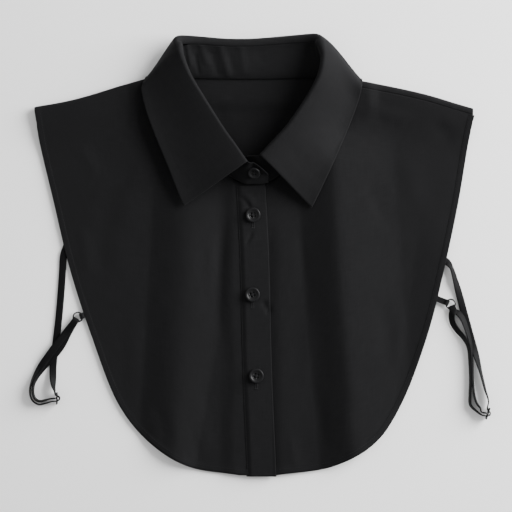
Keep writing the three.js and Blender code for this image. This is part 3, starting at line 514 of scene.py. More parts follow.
def on_turn(x, y, foot, angle):
    """Places on the round turn over the shoulder, an angle on from its foot."""
    turned = np.radians(angle)
    return np.stack([x, y + TURN * np.sin(turned), foot + TURN * (1 - np.cos(turned))], -1)


def with_hem(grid, rim_line):
    """Moves a panel's points out along its face to shape the hem along a line."""
    distance, along = edge_distance(grid, rim_line)
    return grid + grid_normals(grid) * hem_relief(distance, along)[..., None]


def inset_line(line, inset, over):
    """A line moved inward over a surface by a distance, then laid on that surface."""
    ahead = unit(np.gradient(line[:, :2], axis=0))
    inward = np.column_stack([-ahead[:, 1], ahead[:, 0]])
    moved = line[:, :2] + inward * inset
    return np.column_stack([moved, over(moved[:, 0], moved[:, 1])])


# ---------- materials

def linear(hex_colour):
    """An sRGB hex colour as linear values for a socket."""
    parts = [int(hex_colour[i:i + 2], 16) / 255 for i in (1, 3, 5)]
    values = [p / 12.92 if p <= 0.04045 else ((p + 0.055) / 1.055) ** 2.4 for p in parts]
    return (*values, 1.0)


def add_node(tree, kind, links=(), **settings):
    """Adds one node: settings are its own, and links fill its inputs by value or by output."""
    node = tree.nodes.new(kind)
    for name, value in settings.items():
        setattr(node, name, value)
    for socket, value in links:
        if isinstance(value, bpy.types.NodeSocket):
            tree.links.new(value, node.inputs[socket])
        else:
            node.inputs[socket].default_value = value
    return node


def new_material(name):
    material = bpy.data.materials.new(name)
    material.use_nodes = True
    return material, material.node_tree, material.node_tree.nodes["Principled BSDF"]


def set_finish(skin, **values):
    """Sets sockets of the finish; an underscore in a name stands for a space."""
    for name, value in values.items():
        skin.inputs[name.replace("_", " ")].default_value = value


WEFT_SLUB = (100 / 9, 10 / 9)    # length and thickness of the yarn's thick places
WARP_SLUB = (10 / 11, 100 / 7)
CLOUD = 500 / 7                  # size of the faintly worn and washed places
WAVE_LENGTH = 0.314              # of the wave pattern at scale 1


def woven(name, low, high, thread, depth, sheen=0.02, rough=0.8):
    """A matte plain weave: two near colours in soft slubs and clouds, and its threads in relief.

    Real threads of this cloth are 0.2 mm apart; they are drawn about twice as coarse, at the
    spacing that thread gives, because finer ones would not show.
    """
    material, tree, skin = new_material(name)
    place = add_node(tree, "ShaderNodeUVMap", uv_map="cloth").outputs["UV"]
    slubs = []
    for across, along in (WEFT_SLUB, WARP_SLUB):
        stretched = add_node(tree, "ShaderNodeMapping", [
            ("Vector", place), ("Scale", (1 / (across * MM), 1 / (along * MM), 1.0)),
        ]).outputs["Vector"]
        slubs.append(add_node(tree, "ShaderNodeTexNoise", [
            ("Vector", stretched), ("Scale", 1.0), ("Detail", 2.0), ("Roughness", 0.6),
        ]).outputs["Fac"])
    both = add_node(tree, "ShaderNodeMath", [
        (0, slubs[0]), (1, slubs[1]),
    ], operation="ADD").outputs[0]
    cloud = add_node(tree, "ShaderNodeTexNoise", [
        ("Vector", place), ("Scale", 1 / (CLOUD * MM)), ("Detail", 3.0), ("Roughness", 0.55),
    ]).outputs["Fac"]
    worn = add_node(tree, "ShaderNodeMath", [
        (0, cloud), (1, 0.5), (2, both),
    ], operation="MULTIPLY_ADD").outputs[0]
    blend = add_node(tree, "ShaderNodeMapRange", [
        ("Value", worn), ("From Min", 0.95), ("From Max", 1.55),
    ]).outputs["Result"]
    colour = add_node(tree, "ShaderNodeMix", [
        (0, blend), (6, linear(low)), (7, linear(high)),
    ], data_type="RGBA").outputs[2]
    tree.links.new(colour, skin.inputs["Base Color"])
    threads = [
        add_node(tree, "ShaderNodeTexWave", [
            ("Vector", place), ("Scale", WAVE_LENGTH / (thread * MM)),
        ], bands_direction=way).outputs["Fac"]
        for way in ("X", "Y")
    ]
    weave = add_node(tree, "ShaderNodeMath", [
        (0, threads[0]), (1, threads[1]),
    ], operation="MULTIPLY").outputs[0]
    relief = add_node(tree, "ShaderNodeMath", [
        (0, both), (1, 0.9), (2, weave),
    ], operation="MULTIPLY_ADD").outputs[0]
    bump = add_node(tree, "ShaderNodeBump", [
        ("Height", relief), ("Strength", 0.55), ("Distance", depth * MM),
    ]).outputs["Normal"]
    tree.links.new(bump, skin.inputs["Normal"])
    set_finish(skin, Roughness=rough, Specular_IOR_Level=0.07, Sheen_Weight=sheen,
               Sheen_Roughness=0.45)
    return material


WEAR = 50 / 21                   # size of the patches of wear on a polished piece


def polished(name, colour, rough, coat=0.0, shine=0.5):
    """A polished hard surface with faint wear in its gloss and its colour."""
    material, tree, skin = new_material(name)
    place = add_node(tree, "ShaderNodeTexCoord").outputs["Object"]
    wear = add_node(tree, "ShaderNodeTexNoise", [
        ("Vector", place), ("Scale", 1 / (WEAR * MM)), ("Detail", 3.0),
    ]).outputs["Fac"]
    gloss = add_node(tree, "ShaderNodeMapRange", [
        ("Value", wear), ("From Min", 0.3), ("From Max", 0.7),
        ("To Min", rough * 0.8), ("To Max", rough * 1.3),
    ]).outputs["Result"]
    tree.links.new(gloss, skin.inputs["Roughness"])
    fresh = linear(colour)
    rubbed = tuple(min(1, v * 1.35) for v in fresh)
    tone = add_node(tree, "ShaderNodeMix", [
        (0, wear), (6, fresh), (7, rubbed),
    ], data_type="RGBA").outputs[2]
    tree.links.new(tone, skin.inputs["Base Color"])
    set_finish(skin, Coat_Weight=coat, Specular_IOR_Level=shine, Coat_Roughness=0.12)
    return material


# Black cotton shirting, plain woven and slightly washed: matte, with a faint bloom.
SHIRTING = woven("black_cotton_poplin", "#0f0f10", "#141415", 0.42, 0.045)
# The same cotton fused to interfacing: flatter threads and a little more bloom on the rolls.
INTERFACED = woven("black_cotton_interfaced", "#101011", "#151516", 0.42, 0.04, sheen=0.022)
# Black elastic woven over rubber cores: ribbed and a little smoother than the cotton.
ELASTIC = woven("black_woven_elastic", "#060607", "#0b0b0c", 0.5, 0.07, sheen=0.012, rough=0.6)
# Black spun polyester sewing thread: nearly matte, a touch lighter than the cloth.
SEWING_THREAD = polished("black_polyester_thread", "#161617", 0.7, shine=0.12)
# Black polyester button resin, turned and tumble polished: a soft gleam on the rim.
RESIN = polished("polished_button_resin", "#101011", 0.36, shine=0.13)
# Black moulded acetal of the sliders: smooth, with narrow highlights on its edges.
SLIDER_PLASTIC = polished("black_moulded_plastic", "#0b0b0c", 0.24, coat=0.05, shine=0.3)
# Black enamel baked onto steel wire, as on the rings: the glossiest of the trims.
ENAMEL = polished("black_enamelled_wire", "#101011", 0.22, coat=0.1, shine=0.5)


# ---------- rows of stitches

def stitch_tree():
    """Geometry nodes that lay a thread stitch on each step of a line."""
    tree = bpy.data.node_groups.new("stitch_row", "GeometryNodeTree")
    face = tree.interface
    face.new_socket("Geometry", in_out="INPUT", socket_type="NodeSocketGeometry")
    for name in ("Pitch", "Length", "Radius", "Turn"):
        face.new_socket(name, in_out="INPUT", socket_type="NodeSocketFloat")
    material = face.new_socket("Thread", in_out="INPUT", socket_type="NodeSocketMaterial")
    material.default_value = SEWING_THREAD
    face.new_socket("Geometry", in_out="OUTPUT", socket_type="NodeSocketGeometry")

    given = add_node(tree, "NodeGroupInput").outputs
    line = add_node(tree, "GeometryNodeMeshToCurve", [(0, given["Geometry"])]).outputs[0]
    steps = add_node(tree, "GeometryNodeCurveToPoints", [
        ("Curve", line), ("Length", given["Pitch"]),
    ], mode="LENGTH")
    uneven = add_node(tree, "FunctionNodeRandomValue", [
        ("Min", (-0.05, -0.05, -0.16)), ("Max", (0.05, 0.05, 0.16)), ("Seed", 7),
    ], data_type="FLOAT_VECTOR").outputs["Value"]
    turn = add_node(tree, "ShaderNodeCombineXYZ", [("Z", given["Turn"])]).outputs[0]
    facing = add_node(tree, "FunctionNodeAlignRotationToVector", [
        ("Vector", steps.outputs["Tangent"]),
    ], axis="X").outputs[0]
    swing = add_node(tree, "ShaderNodeVectorMath", [
        (0, uneven), (1, turn),
    ], operation="ADD").outputs[0]
    turned = add_node(tree, "FunctionNodeRotateRotation", [
        ("Rotation", facing), ("Rotate By", swing),
    ], rotation_space="LOCAL").outputs[0]
    half = add_node(tree, "ShaderNodeMath", [
        (0, given["Length"]), (1, 0.5),
    ], operation="MULTIPLY").outputs[0]
    size = add_node(tree, "ShaderNodeCombineXYZ", [
        ("X", half), ("Y", given["Radius"]), ("Z", given["Radius"]),
    ]).outputs[0]
    bead = add_node(tree, "GeometryNodeMeshUVSphere", [
        ("Segments", 8), ("Rings", 5), ("Radius", 1.0),
    ]).outputs["Mesh"]
    lying = add_node(tree, "GeometryNodeTransform", [
        ("Geometry", bead), ("Rotation", (0.0, math.pi / 2, 0.0)),
    ]).outputs[0]
    rows = add_node(tree, "GeometryNodeInstanceOnPoints", [
        ("Points", steps.outputs["Points"]), ("Instance", lying), ("Rotation", turned),
        ("Scale", size),
    ]).outputs[0]
    solid = add_node(tree, "GeometryNodeRealizeInstances", [("Geometry", rows)]).outputs[0]
    dyed = add_node(tree, "GeometryNodeSetMaterial", [
        ("Geometry", solid), ("Material", given["Thread"]),
    ]).outputs[0]
    add_node(tree, "NodeGroupOutput", [("Geometry", dyed)])
    return tree


STITCH_TREE = stitch_tree()


def stitches(name, lines, pitch=STITCH, length=1.75, radius=THREAD, turn=0.0):
    """One plain mesh of stitches along open lines given in millimetres."""
    points, edges = [], []
    for line in lines:
        start = len(points)
        points += (np.asarray(line) * MM).tolist()
        edges += [(start + i, start + i + 1) for i in range(len(line) - 1)]
    path = bpy.data.meshes.new(name + "_path")
    path.from_pydata(points, edges, [])
    maker = bpy.data.objects.new(name + "_path", path)
    bpy.context.scene.collection.objects.link(maker)
    modifier = maker.modifiers.new("stitches", "NODES")
    modifier.node_group = STITCH_TREE
    values = {"Pitch": pitch * MM, "Length": length * MM, "Radius": radius * MM, "Turn": turn}
    for item in STITCH_TREE.interface.items_tree:
        if item.item_type == "SOCKET" and item.in_out == "INPUT" and item.name in values:
            modifier[item.identifier] = values[item.name]
    mesh = plain_mesh(maker)
    bpy.data.objects.remove(maker)
    mesh.name = name
    shade_softly(mesh)
    return add_object(name, mesh)


# ---------- panels

def back_creases(x, y):
    """The back's creases, which stay out of its turned-over top."""
    return creases(x, y, BACK_CREASES) * ease((148 - y) / 12) * ease((140 - y) / 20 + 0.2)


def make_back():
    """The back panel: flat below the neck and turned over forward along both shoulders."""
    inset = 1.0

    def top(x):
        ax = np.abs(x)
        return np.where(ax < NECK_HALF, neck_back(ax), shoulder_line(x) - TURN)

    places = place_columns(EDGE["left"][0] + inset, EDGE["right"][0] - inset, top, 2.6)
    rows = place_rows(84)
    x = places[:, None]
    low, high = lower_edge(places)[:, None] + inset, top(places)[:, None]
    y = mix(low, high, rows[None, :])
    across = x + tip_lean(x, rows[None, :])
    z = back_level(x, y) + back_creases(across, y)
    flat = np.stack([across, y, np.maximum(z, CLOTH / 2 + 0.02)], -1)
    share = turn_share(places)
    span = np.where(places < 0, SEAM_ANGLE, 180) * share
    out = places + tip_lean(places, 1)
    turns = []
    steps = 12
    for i in range(1, steps + 1):
        level = high[:, 0] + FLAT_STEP * 5 / steps * i * (1 - share)
        turns.append(on_turn(out, level, back_level(places, high[:, 0]), span * i / steps))
    last, turned = turns[-1], np.radians(span)
    far = np.where(places < 0, 2 * FLAT_STEP, SEAM_FORWARD)
    for part in (0.5, 1.0):
        on = mix(FLAT_STEP, far, share) * part
        turns.append(np.stack([
            out, last[:, 1] + on * np.cos(turned), last[:, 2] + on * np.sin(turned),
        ], -1))
    grid = np.concatenate([flat, np.stack(turns, 1)], 1)
    return cloth_shell("shown_back", grid, CLOTH, SHIRTING)


def panel_edge(grid):
    """The armhole and hem of a panel: down its first column, then along its lower row."""
    return np.concatenate([grid[0, ::-1], grid[1:, 0]])


def make_right_front():
    """The over front, on the wearer's right, turned down behind its shoulder seam."""
    edge_top = float(band_centre(NECK_FRONT["y"][0])) + BAND_WIDTH / 2 - 0.5
    edge_foot = float(band_centre(HEM_Y)) + BAND_WIDTH / 2 - 0.5

    def ridge(x):
        return shoulder_line(x) - TURN

    def top(x):
        return np.where(x > -NECK_HALF, np.minimum(neck_front(np.abs(x)), ridge(x)), ridge(x))

    def band_lean(x):
        return (edge_top - edge_foot) * ease((x + 45) / (45 + edge_foot))

    places = place_columns(EDGE["left"][0], edge_foot, top, 1.7)
    rows = place_rows(168)
    x = places[:, None]
    low, high = lower_edge(places)[:, None], top(places + band_lean(places))[:, None]
    y = mix(low, high, rows[None, :])
    across = x + tip_lean(x, rows[None, :]) + band_lean(x) * rows[None, :]
    z = over_level(across, y) + creases(across, y, FRONT_CREASES) * calm(across, y)
    flat = np.stack([across, y, z], -1)
    share = turn_share(places)
    end = flat[:, -1]
    turns = []
    steps = 8
    for i in range(1, steps + 1):
        angle = 180 - (180 - SEAM_ANGLE - 2 * SEAM_GAP_ANGLE) * share * i / steps
        level = end[:, 1] + FLAT_STEP * 3 / steps * i * (1 - share)
        turns.append(on_turn(end[:, 0], level, end[:, 2] - 2 * TURN, angle))
    grid = np.concatenate([flat, np.stack(turns, 1)], 1)
    line = even_line(panel_edge(grid[:, :len(rows)]), 0.6)
    shaped = with_hem(grid, line)
    stitch = hem_line(line, lambda px, py: front_surface(px, py, over_level))
    return cloth_shell("shown_front_right", shaped, CLOTH, SHIRTING), stitch


def hem_line(line, surface):
    """The hem's stitch line, a little short of both ends of the hem."""
    inner = inset_line(even_line(line, 2.0), HEM_STITCH, surface)
    inner[:, 2] += STITCH_LIFT + 0.14
    return even_line(inner[2:-2], 1.0)


def make_left_front():
    """The under front, on the wearer's left, which ends at the seam along its shoulder."""
    def seam(x):
        return shoulder_line(x) - TURN - SEAM_FORWARD - GAP - 0.1

    def top(x):
        return np.where(x < NECK_HALF, np.minimum(neck_front(np.abs(x)), seam(x)), seam(x))

    places = place_columns(UNDER_FRONT_EDGE, EDGE["right"][0], top, 1.7)
    rows = place_rows(176)
    x = places[:, None]
    y = mix(lower_edge(places)[:, None], top(places)[:, None], rows[None, :])
    across = x + tip_lean(x, rows[None, :])
    z = front_surface(across, y, front_level)
    grid = np.stack([across, y, z], -1)
    line = even_line(np.concatenate([grid[:, 0], grid[-1, 1:]]), 0.6)
    shaped = with_hem(grid, line)
    stitch = hem_line(line, lambda px, py: front_surface(px, py, front_level))
    return cloth_shell("shown_front_left", shaped, CLOTH, SHIRTING), stitch


def band_surface(x, y):
    """The band stands clear along its free edge and sinks to the front at its stitching."""
    inner = (x - (band_centre(y) - BAND_WIDTH / 2)) / 5.0
    clear = mix(0.1, PANEL_WALL + GAP, ease(inner))
    return front_surface(x, y, over_level) + clear


def make_band():
    """The button band down the over front, puckered a little along its stitching."""
    columns, rows = 34, 250
    y = np.linspace(HEM_Y - BAND_DROP, NECK_FRONT["y"][0], rows)[None, :]
    share = np.linspace(0, 1, columns)[:, None]
    x = band_centre(y) + BAND_WIDTH * (share - 0.5)
    y = y + 0 * x
    z = band_surface(x, y)
    away = share * BAND_WIDTH - BAND_STITCH_IN
    pucker = np.sin(y / 2.1) + 0.6 * np.sin(y / 1.3 + 1) + 0.5 * np.sin(y / 4.3)
    z = z - 0.14 * np.exp(-((away / 0.6) ** 2)) + 0.05 * pucker * np.exp(-((away / 3.5) ** 2))
    band = cloth_shell("shown_button_band", np.stack([x, y, z], -1), CLOTH, SHIRTING)
    run = np.linspace(HEM_Y + 2, NECK_FRONT["y"][0] - 1, 240)
    at = band_centre(run) - BAND_WIDTH / 2 + BAND_STITCH_IN
    line = np.column_stack([at, run, band_surface(at, run) + STITCH_LIFT])
    return band, line


def make_buttonholes():
    """Upright worked buttonholes: two close rows of thread with a bar at each end."""
    rows, bars = [], []
    for bx, by in zip(BUTTONS["x"], BUTTONS["y"]):
        top, foot = by + 4.5, by - 11.0
        for side in (-0.75, 0.75):
            y = np.linspace(foot, top, 24)
            x = bx + side + 0 * y
            rows.append(np.column_stack([x, y, band_surface(x, y) + STITCH_LIFT - 0.02]))
        for end in (foot, top):
            x = bx + np.linspace(-1.3, 1.3, 7)
            y = end + 0 * x
            bars.append(np.column_stack([x, y, band_surface(x, y) + STITCH_LIFT + 0.05]))
    turn = math.pi / 2
    edges = stitches("buttonhole_edges", rows, pitch=0.36, length=1.25, radius=0.17, turn=turn)
    ends = stitches("buttonhole_bars", bars, pitch=0.34, length=1.3, radius=0.2, turn=turn)
    return edges, ends


# ---------- collar

LAST = len(COLLAR["round"]) - 1
STATION = {"at": np.arange(LAST + 1.0)}
rise_at = reader({**STATION, "v": COLLAR["rise"]}, "at", "v")
fall_at = reader({**STATION, "v": COLLAR["fall"]}, "at", "v")
round_at = reader({**STATION, "v": COLLAR["round"]}, "at", "v")
LEAF_CLEAR = PANEL_WALL / 2 + GAP + 0.3 + LEAF_WALL / 2
LEAF_BELOW = PANEL_WALL / 2 + GAP + 0.25 + LEAF_WALL / 2
STAND_CLEAR = PANEL_WALL / 2 + GAP + 0.5
TURN_COLUMNS = 14        # of the leaf's grid, over its turn


def under_stand(x, y):
    """Level of the cloth that the stand's foot is sewn to: the fronts, or the back behind."""
    band = ease((BAND_WIDTH / 2 + 6 - np.abs(x + 3)) / 6)
    front = over_level(np.where(x < 0, x, np.minimum(x, 10)), y) + (PANEL_WALL + GAP) * band
    return np.where(y > 140, back_level(x, y), front)


def collar_curves():
    """The three lines that carry the collar: its turn, its neck seam and the leaf's edge."""
    turn = through(np.column_stack([COLLAR["turnX"], COLLAR["turnY"], COLLAR["turnZ"]]))
    sx, sy = COLLAR["seamX"], COLLAR["seamY"]
    over = OVER_LIFT * np.maximum(0, 1 - STATION["at"] / 2)
    foot = through(np.column_stack([sx, sy, under_stand(sx, sy) + STAND_CLEAR + over]))
    ex, ey, ez = COLLAR["edgeX"], COLLAR["edgeY"], COLLAR["edgeZ"]
    lying = np.where(ez < 0, front_level(ex, ey) + LEAF_CLEAR, ez)
    return turn, foot, through(np.column_stack([ex, ey, lying]))


TURN_AT, SEAM_AT, EDGE_AT = collar_curves()


def hermite(a, slope_a, b, slope_b, t):
    """A curve from a to b that leaves and arrives along the two slopes."""
    return (
        a * (1 + 2 * t) * (1 - t) ** 2 + slope_a * t * (1 - t) ** 2
        + b * t * t * (3 - 2 * t) + slope_b * t * t * (t - 1)
    )


def section(stations):
    """The collar's sections: functions of t for the stand, the turn and the leaf."""
    s = np.asarray(stations, float)
    along = TURN_AT(s + 0.25) - TURN_AT(s - 0.25)
    out = unit(np.column_stack([-along[:, 1], along[:, 0], 0 * s]))
    up = np.array([0, 0, 1.0])
    centre, radius = TURN_AT(s), round_at(s)[:, None]
    rise, fall = rise_at(s)[:, None], fall_at(s)[:, None]

    def slope(angle, length):
        turned = np.radians(angle)
        return out * length * np.cos(turned) + up * length * np.sin(turned)

    def on_fold(angle):
        return centre + slope(angle + 90, radius)

    foot, edge = SEAM_AT(s), EDGE_AT(s)

    def stand(t):
        top = on_fold(rise)
        height = np.linalg.norm(foot - top, axis=1, keepdims=True)
        leaving = (top - foot) * 0.7 + up * height * 0.35
        return hermite(foot, leaving, top, slope(rise, height * 0.7), t)

    def turn(t):
        return on_fold(mix(rise, fall, t))

    def leaf(t):
        top = on_fold(fall)
        lie = edge - top
        start = slope(fall, np.linalg.norm(lie, axis=1, keepdims=True) * 0.8)
        point = hermite(top, start, edge, lie * np.array([1, 1, 0.3]), t)
        point[:, 2] = np.maximum(point[:, 2], LEAF_WALL / 2 + 0.05)
        return clear_of_panels(point)

    return stand, turn, leaf


def clear_of_panels(point):
    """Moves the leaf's points off the fronts, the shoulder's turn and the back."""
    x, y, z = point.T
    ridge = shoulder_line(x) - TURN
    middle = back_level(x, ridge) + TURN
    beyond = (y > ridge) & (np.abs(x) > 60)
    away = np.hypot(y - ridge, z - middle)
    least = TURN + LEAF_CLEAR
    near = beyond & (away < least)
    grow = np.where(near, least / np.maximum(away, 1e-6), 1)
    over = np.maximum(z, front_level(x, y) + LEAF_CLEAR)
    under = np.minimum(z, back_level(x, y) - LEAF_BELOW)
    above = (z > middle) | (y < 125)
    new_y = np.where(beyond, ridge + (y - ridge) * grow, y)
    new_z = np.where(beyond, middle + (z - middle) * grow, np.where(above, over, under))
    return np.column_stack([x, new_y, new_z])


def smoothed(values, passes):
    """Softens a row of columns so that no column stands out from its neighbours."""
    for _ in range(passes):
        values[1:-1] = (values[:-2] + 2 * values[1:-1] + values[2:]) / 4
    return values


# Soft waves of the leaf.
LEAF_WAVES = table("station t width reach height", [
    (1.4, 0.55, 0.9, 0.30, 0.5), (3.2, 0.7, 0.8, 0.28, -0.4), (4.6, 0.35, 0.7, 0.3, 0.35),
    (20.6, 0.6, 0.9, 0.3, 0.5), (22.2, 0.4, 0.8, 0.3, -0.4), (23.2, 0.8, 0.6, 0.25, 0.35),
    (10.5, 0.6, 1.2, 0.3, -0.3),
])


def make_leaf():
    """The leaf: over the turn and down to its edge, with soft waves and a firm seamed edge."""
    stations = np.linspace(0, LAST, 300)
    _, turn, leaf = section(stations)
    falls = np.concatenate([np.linspace(0, 0.12, 6)[1:], np.linspace(0.12, 1, 46)[1:]])
    over_turn = [turn(t) for t in np.linspace(0, 1, TURN_COLUMNS)]
    grid = smoothed(np.stack(over_turn + [leaf(t) for t in falls], 1), 3)
    share = np.concatenate([np.zeros(TURN_COLUMNS), falls])[None, :]
    bulge = np.zeros(grid.shape[:2])
    for station, t, width, reach, height in rows_of(LEAF_WAVES):
        away = (stations[:, None] - station) / width
        down = (share - t) / reach
        bulge += height * np.exp(-(away**2) - down**2)
    ends = grid[0, TURN_COLUMNS:], grid[-1, -2:TURN_COLUMNS - 1:-1]
    line = even_line(np.concatenate([ends[0], grid[1:, -1], ends[1]]), 0.7)
    distance, _ = edge_distance(grid, line)
    seam = 0.07 * ease((6.5 - distance) / 3.5)
    grid = grid + grid_normals(grid) * (np.maximum(bulge, -0.2) + seam)[..., None]
    return cloth_shell("shown_collar_leaf", grid, COLLAR_CLOTH, INTERFACED)


# Upright creases of the stand, where it is squeezed round the back of the neck.
STAND_MARKS = table("station from to width height lean", [
    (9.25, 0.3, 1.1, 0.16, 0.7, -0.2), (9.75, 0.1, 0.75, 0.1, -0.75, -0.1),
    (10.15, 0.35, 1.1, 0.13, 0.8, -0.35), (10.62, 0.05, 0.85, 0.12, -0.9, -0.3),
    (11.0, 0.0, 1.1, 0.1, 0.9, -0.4), (11.3, 0.2, 0.8, 0.09, -0.5, -0.3),
    (11.75, 0.1, 1.1, 0.16, 0.6, -0.25), (12.5, 0.4, 0.9, 0.16, -0.35, -0.3),
    (13.4, 0.2, 0.8, 0.25, -0.25, -0.2), (7.6, 0.2, 0.8, 0.3, 0.3, 0.3),
    (20.4, 0.2, 0.8, 0.4, 0.3, 0.1), (3.5, 0.2, 0.8, 0.4, 0.3, 0.1),
])


def stand_columns(stations, rows):
    """The stand's points, a little short of the turn where the neck bends most."""
    stand, _, _ = section(stations)
    short = 1 - 0.09 * ease(1.9 - np.abs(np.asarray(stations) - 7.7))[:, None]
    return np.stack([stand(t * short) for t in rows], 1)


def stand_ends(nearest, ends, lift):
    """Columns of the stand past the leaf, shaped like the last one that the leaf covers."""
    rows = nearest.shape[0] - 1
    share = np.linspace(0, 1, rows + 1)[:, None]
    before = nearest[-1] - nearest[0]
    bulge = nearest - nearest[0] - before * share
    made = []
    for foot_x, foot_y, *top in rows_of(ends):
        level = float(under_stand(foot_x, foot_y)) + STAND_CLEAR + lift
        foot = np.array([foot_x, foot_y, level])
        chord = np.array(top) - foot
        ratio = np.linalg.norm(chord) / np.linalg.norm(before)
        made.append(foot + chord * share + bulge * ratio)
    return made


def make_stand():
    """The stand round the neck with its two overlapping ends, and its lower stitch line."""
    rows = np.linspace(0, 0.985, 26)
    end_columns = 26
    stations = np.linspace(0, LAST, 220)
    body = stand_columns(stations, rows)
    over = stand_ends(body[0], STAND_OVER, OVER_LIFT)
    under = stand_ends(body[-1], STAND_UNDER, 0)
    head = through(np.stack([c.ravel() for c in (*over[::-1], body[0], body[9])]))
    tail = through(np.stack([c.ravel() for c in (body[-10], body[-1], *under)]))
    first = head(np.linspace(0, 3, end_columns)).reshape(end_columns, len(rows), 3)
    last = tail(np.linspace(1, 4, end_columns)).reshape(end_columns, len(rows), 3)
    marks = np.zeros(body.shape[:2])
    for station, start, end, width, height, lean in rows_of(STAND_MARKS):
        leaned = station + lean * (rows[None, :] - (start + end) / 2)
        away = (stations[:, None] - leaned) / width
        span = ease((rows - start) / 0.15) * ease((end - rows) / 0.15)
        marks += height * np.exp(-(away**2)) * span[None, :]
    body = body + grid_normals(body) * marks[..., None]
    grid = np.concatenate([first[:-1], body, last[1:]])
    normals = grid_normals(grid)
    lined = grid + normals * -(COLLAR_CLOTH / 2 + 0.1)
    foot_line = even_line(lined[end_columns:-end_columns, 1], 1.0)
    return cloth_shell("shown_collar_stand", grid, COLLAR_CLOTH, INTERFACED, normals), foot_line


# ---------- buttons

def button_holes(diameter):
    """Places of a button's four holes."""
    out = diameter * HOLE_PLACE
    turns = [math.pi / 4 + k * math.pi / 2 for k in range(4)]
    return [(out * math.cos(turn), out * math.sin(turn)) for turn in turns]


def button_mesh(name, diameter):
    """A round button with a raised rim, a dished middle and four holes."""
    radius, half = diameter / 2, BUTTON_THICK / 2
    profile = [
        (0.0, -half), (0.7, -half), (0.9, -half * 0.75), (0.985, -half * 0.3), (1.0, half * 0.3),
        (0.985, half * 0.7), (0.94, half * 0.93), (0.86, half), (0.77, half * 0.96),
        (0.68, half * 0.72), (0.6, half * 0.36), (0.5, half * 0.22), (0.0, half * 0.15),
    ]
    around = 56

    def at(ring, k):
        return 2 + ring * around + k % around

    points, faces = [(0, 0, profile[0][1]), (0, 0, profile[-1][1])], []
    for r, z in profile[1:-1]:
        for k in range(around):
            turn = 2 * math.pi * k / around
            points.append((r * radius * math.cos(turn), r * radius * math.sin(turn), z))
    rings = len(profile) - 2
    for k in range(around):
        faces.append((0, at(0, k + 1), at(0, k)))
        faces.append((1, at(rings - 1, k), at(rings - 1, k + 1)))
        for ring in range(rings - 1):
            faces.append((at(ring, k), at(ring, k + 1), at(ring + 1, k + 1), at(ring + 1, k)))
    mesh = bpy.data.meshes.new(name)
    mesh.from_pydata([tuple(v * MM for v in p) for p in points], [], faces)
    body = add_object(name, mesh)
    cutters = []
    for x, y in button_holes(diameter):
        bpy.ops.mesh.primitive_cylinder_add(
            vertices=20, radius=diameter * HOLE_RADIUS * MM, depth=BUTTON_THICK * 2 * MM,
            location=(x * MM, y * MM, 0),
        )
        cutters.append(bpy.context.object)
        cut_away(body, cutters[-1])
    made = plain_mesh(body)
    for spare in (body, *cutters):
        bpy.data.objects.remove(spare)
    made.name = name
    made.materials.clear()
    made.materials.append(RESIN)
    shade_softly(made)
    return made


def cut_away(piece, cutter):
    cut = piece.modifiers.new("cut", "BOOLEAN")
    cut.operation, cut.solver, cut.object = "DIFFERENCE", "EXACT", cutter


def thread_on_button(diameter):
    """Two crossed strands of thread through the four holes, as lines."""
    out = diameter * HOLE_PLACE
    lines = []
    for shift in (-0.24, 0.0, 0.24):
        for turn in (math.pi / 4, 3 * math.pi / 4):
            ux, uy = math.cos(turn), math.sin(turn)
            t = np.linspace(-1, 1, 13)
            x = out * ux * t - uy * shift
            y = out * uy * t + ux * shift
            z = BUTTON_THICK * 0.075 + 0.42 - 0.75 * t**4
            lines.append(np.column_stack([x, y, z]))
    return lines


def thread_mesh(name, lines, radius, material, sides=8):
    """Round threads along open lines, each closed at its ends, as one mesh."""
    points, faces = [], []
    for line in lines:
        line = np.asarray(line, float)
        ahead = unit(np.gradient(line, axis=0))
        side = unit(np.cross(ahead, np.array([0.03, 0.02, 1.0])))
        up = np.cross(ahead, side)
        start = len(points)
        for p, s, u in zip(line, side, up):
            for k in range(sides):
                turn = 2 * math.pi * k / sides
                points.append(tuple((p + radius * (math.cos(turn) * s + math.sin(turn) * u)) * MM))
        for i in range(len(line) - 1):
            for k in range(sides):
                a, b = start + i * sides + k, start + i * sides + (k + 1) % sides
                faces.append((a, b, b + sides, a + sides))
        faces.append(tuple(start + k for k in range(sides - 1, -1, -1)))
        end = start + (len(line) - 1) * sides
        faces.append(tuple(end + k for k in range(sides)))
    mesh = bpy.data.meshes.new(name)
    mesh.from_pydata(points, [], faces)
    shade_softly(mesh)
    mesh.materials.append(material)
    return mesh


# ---------- side straps

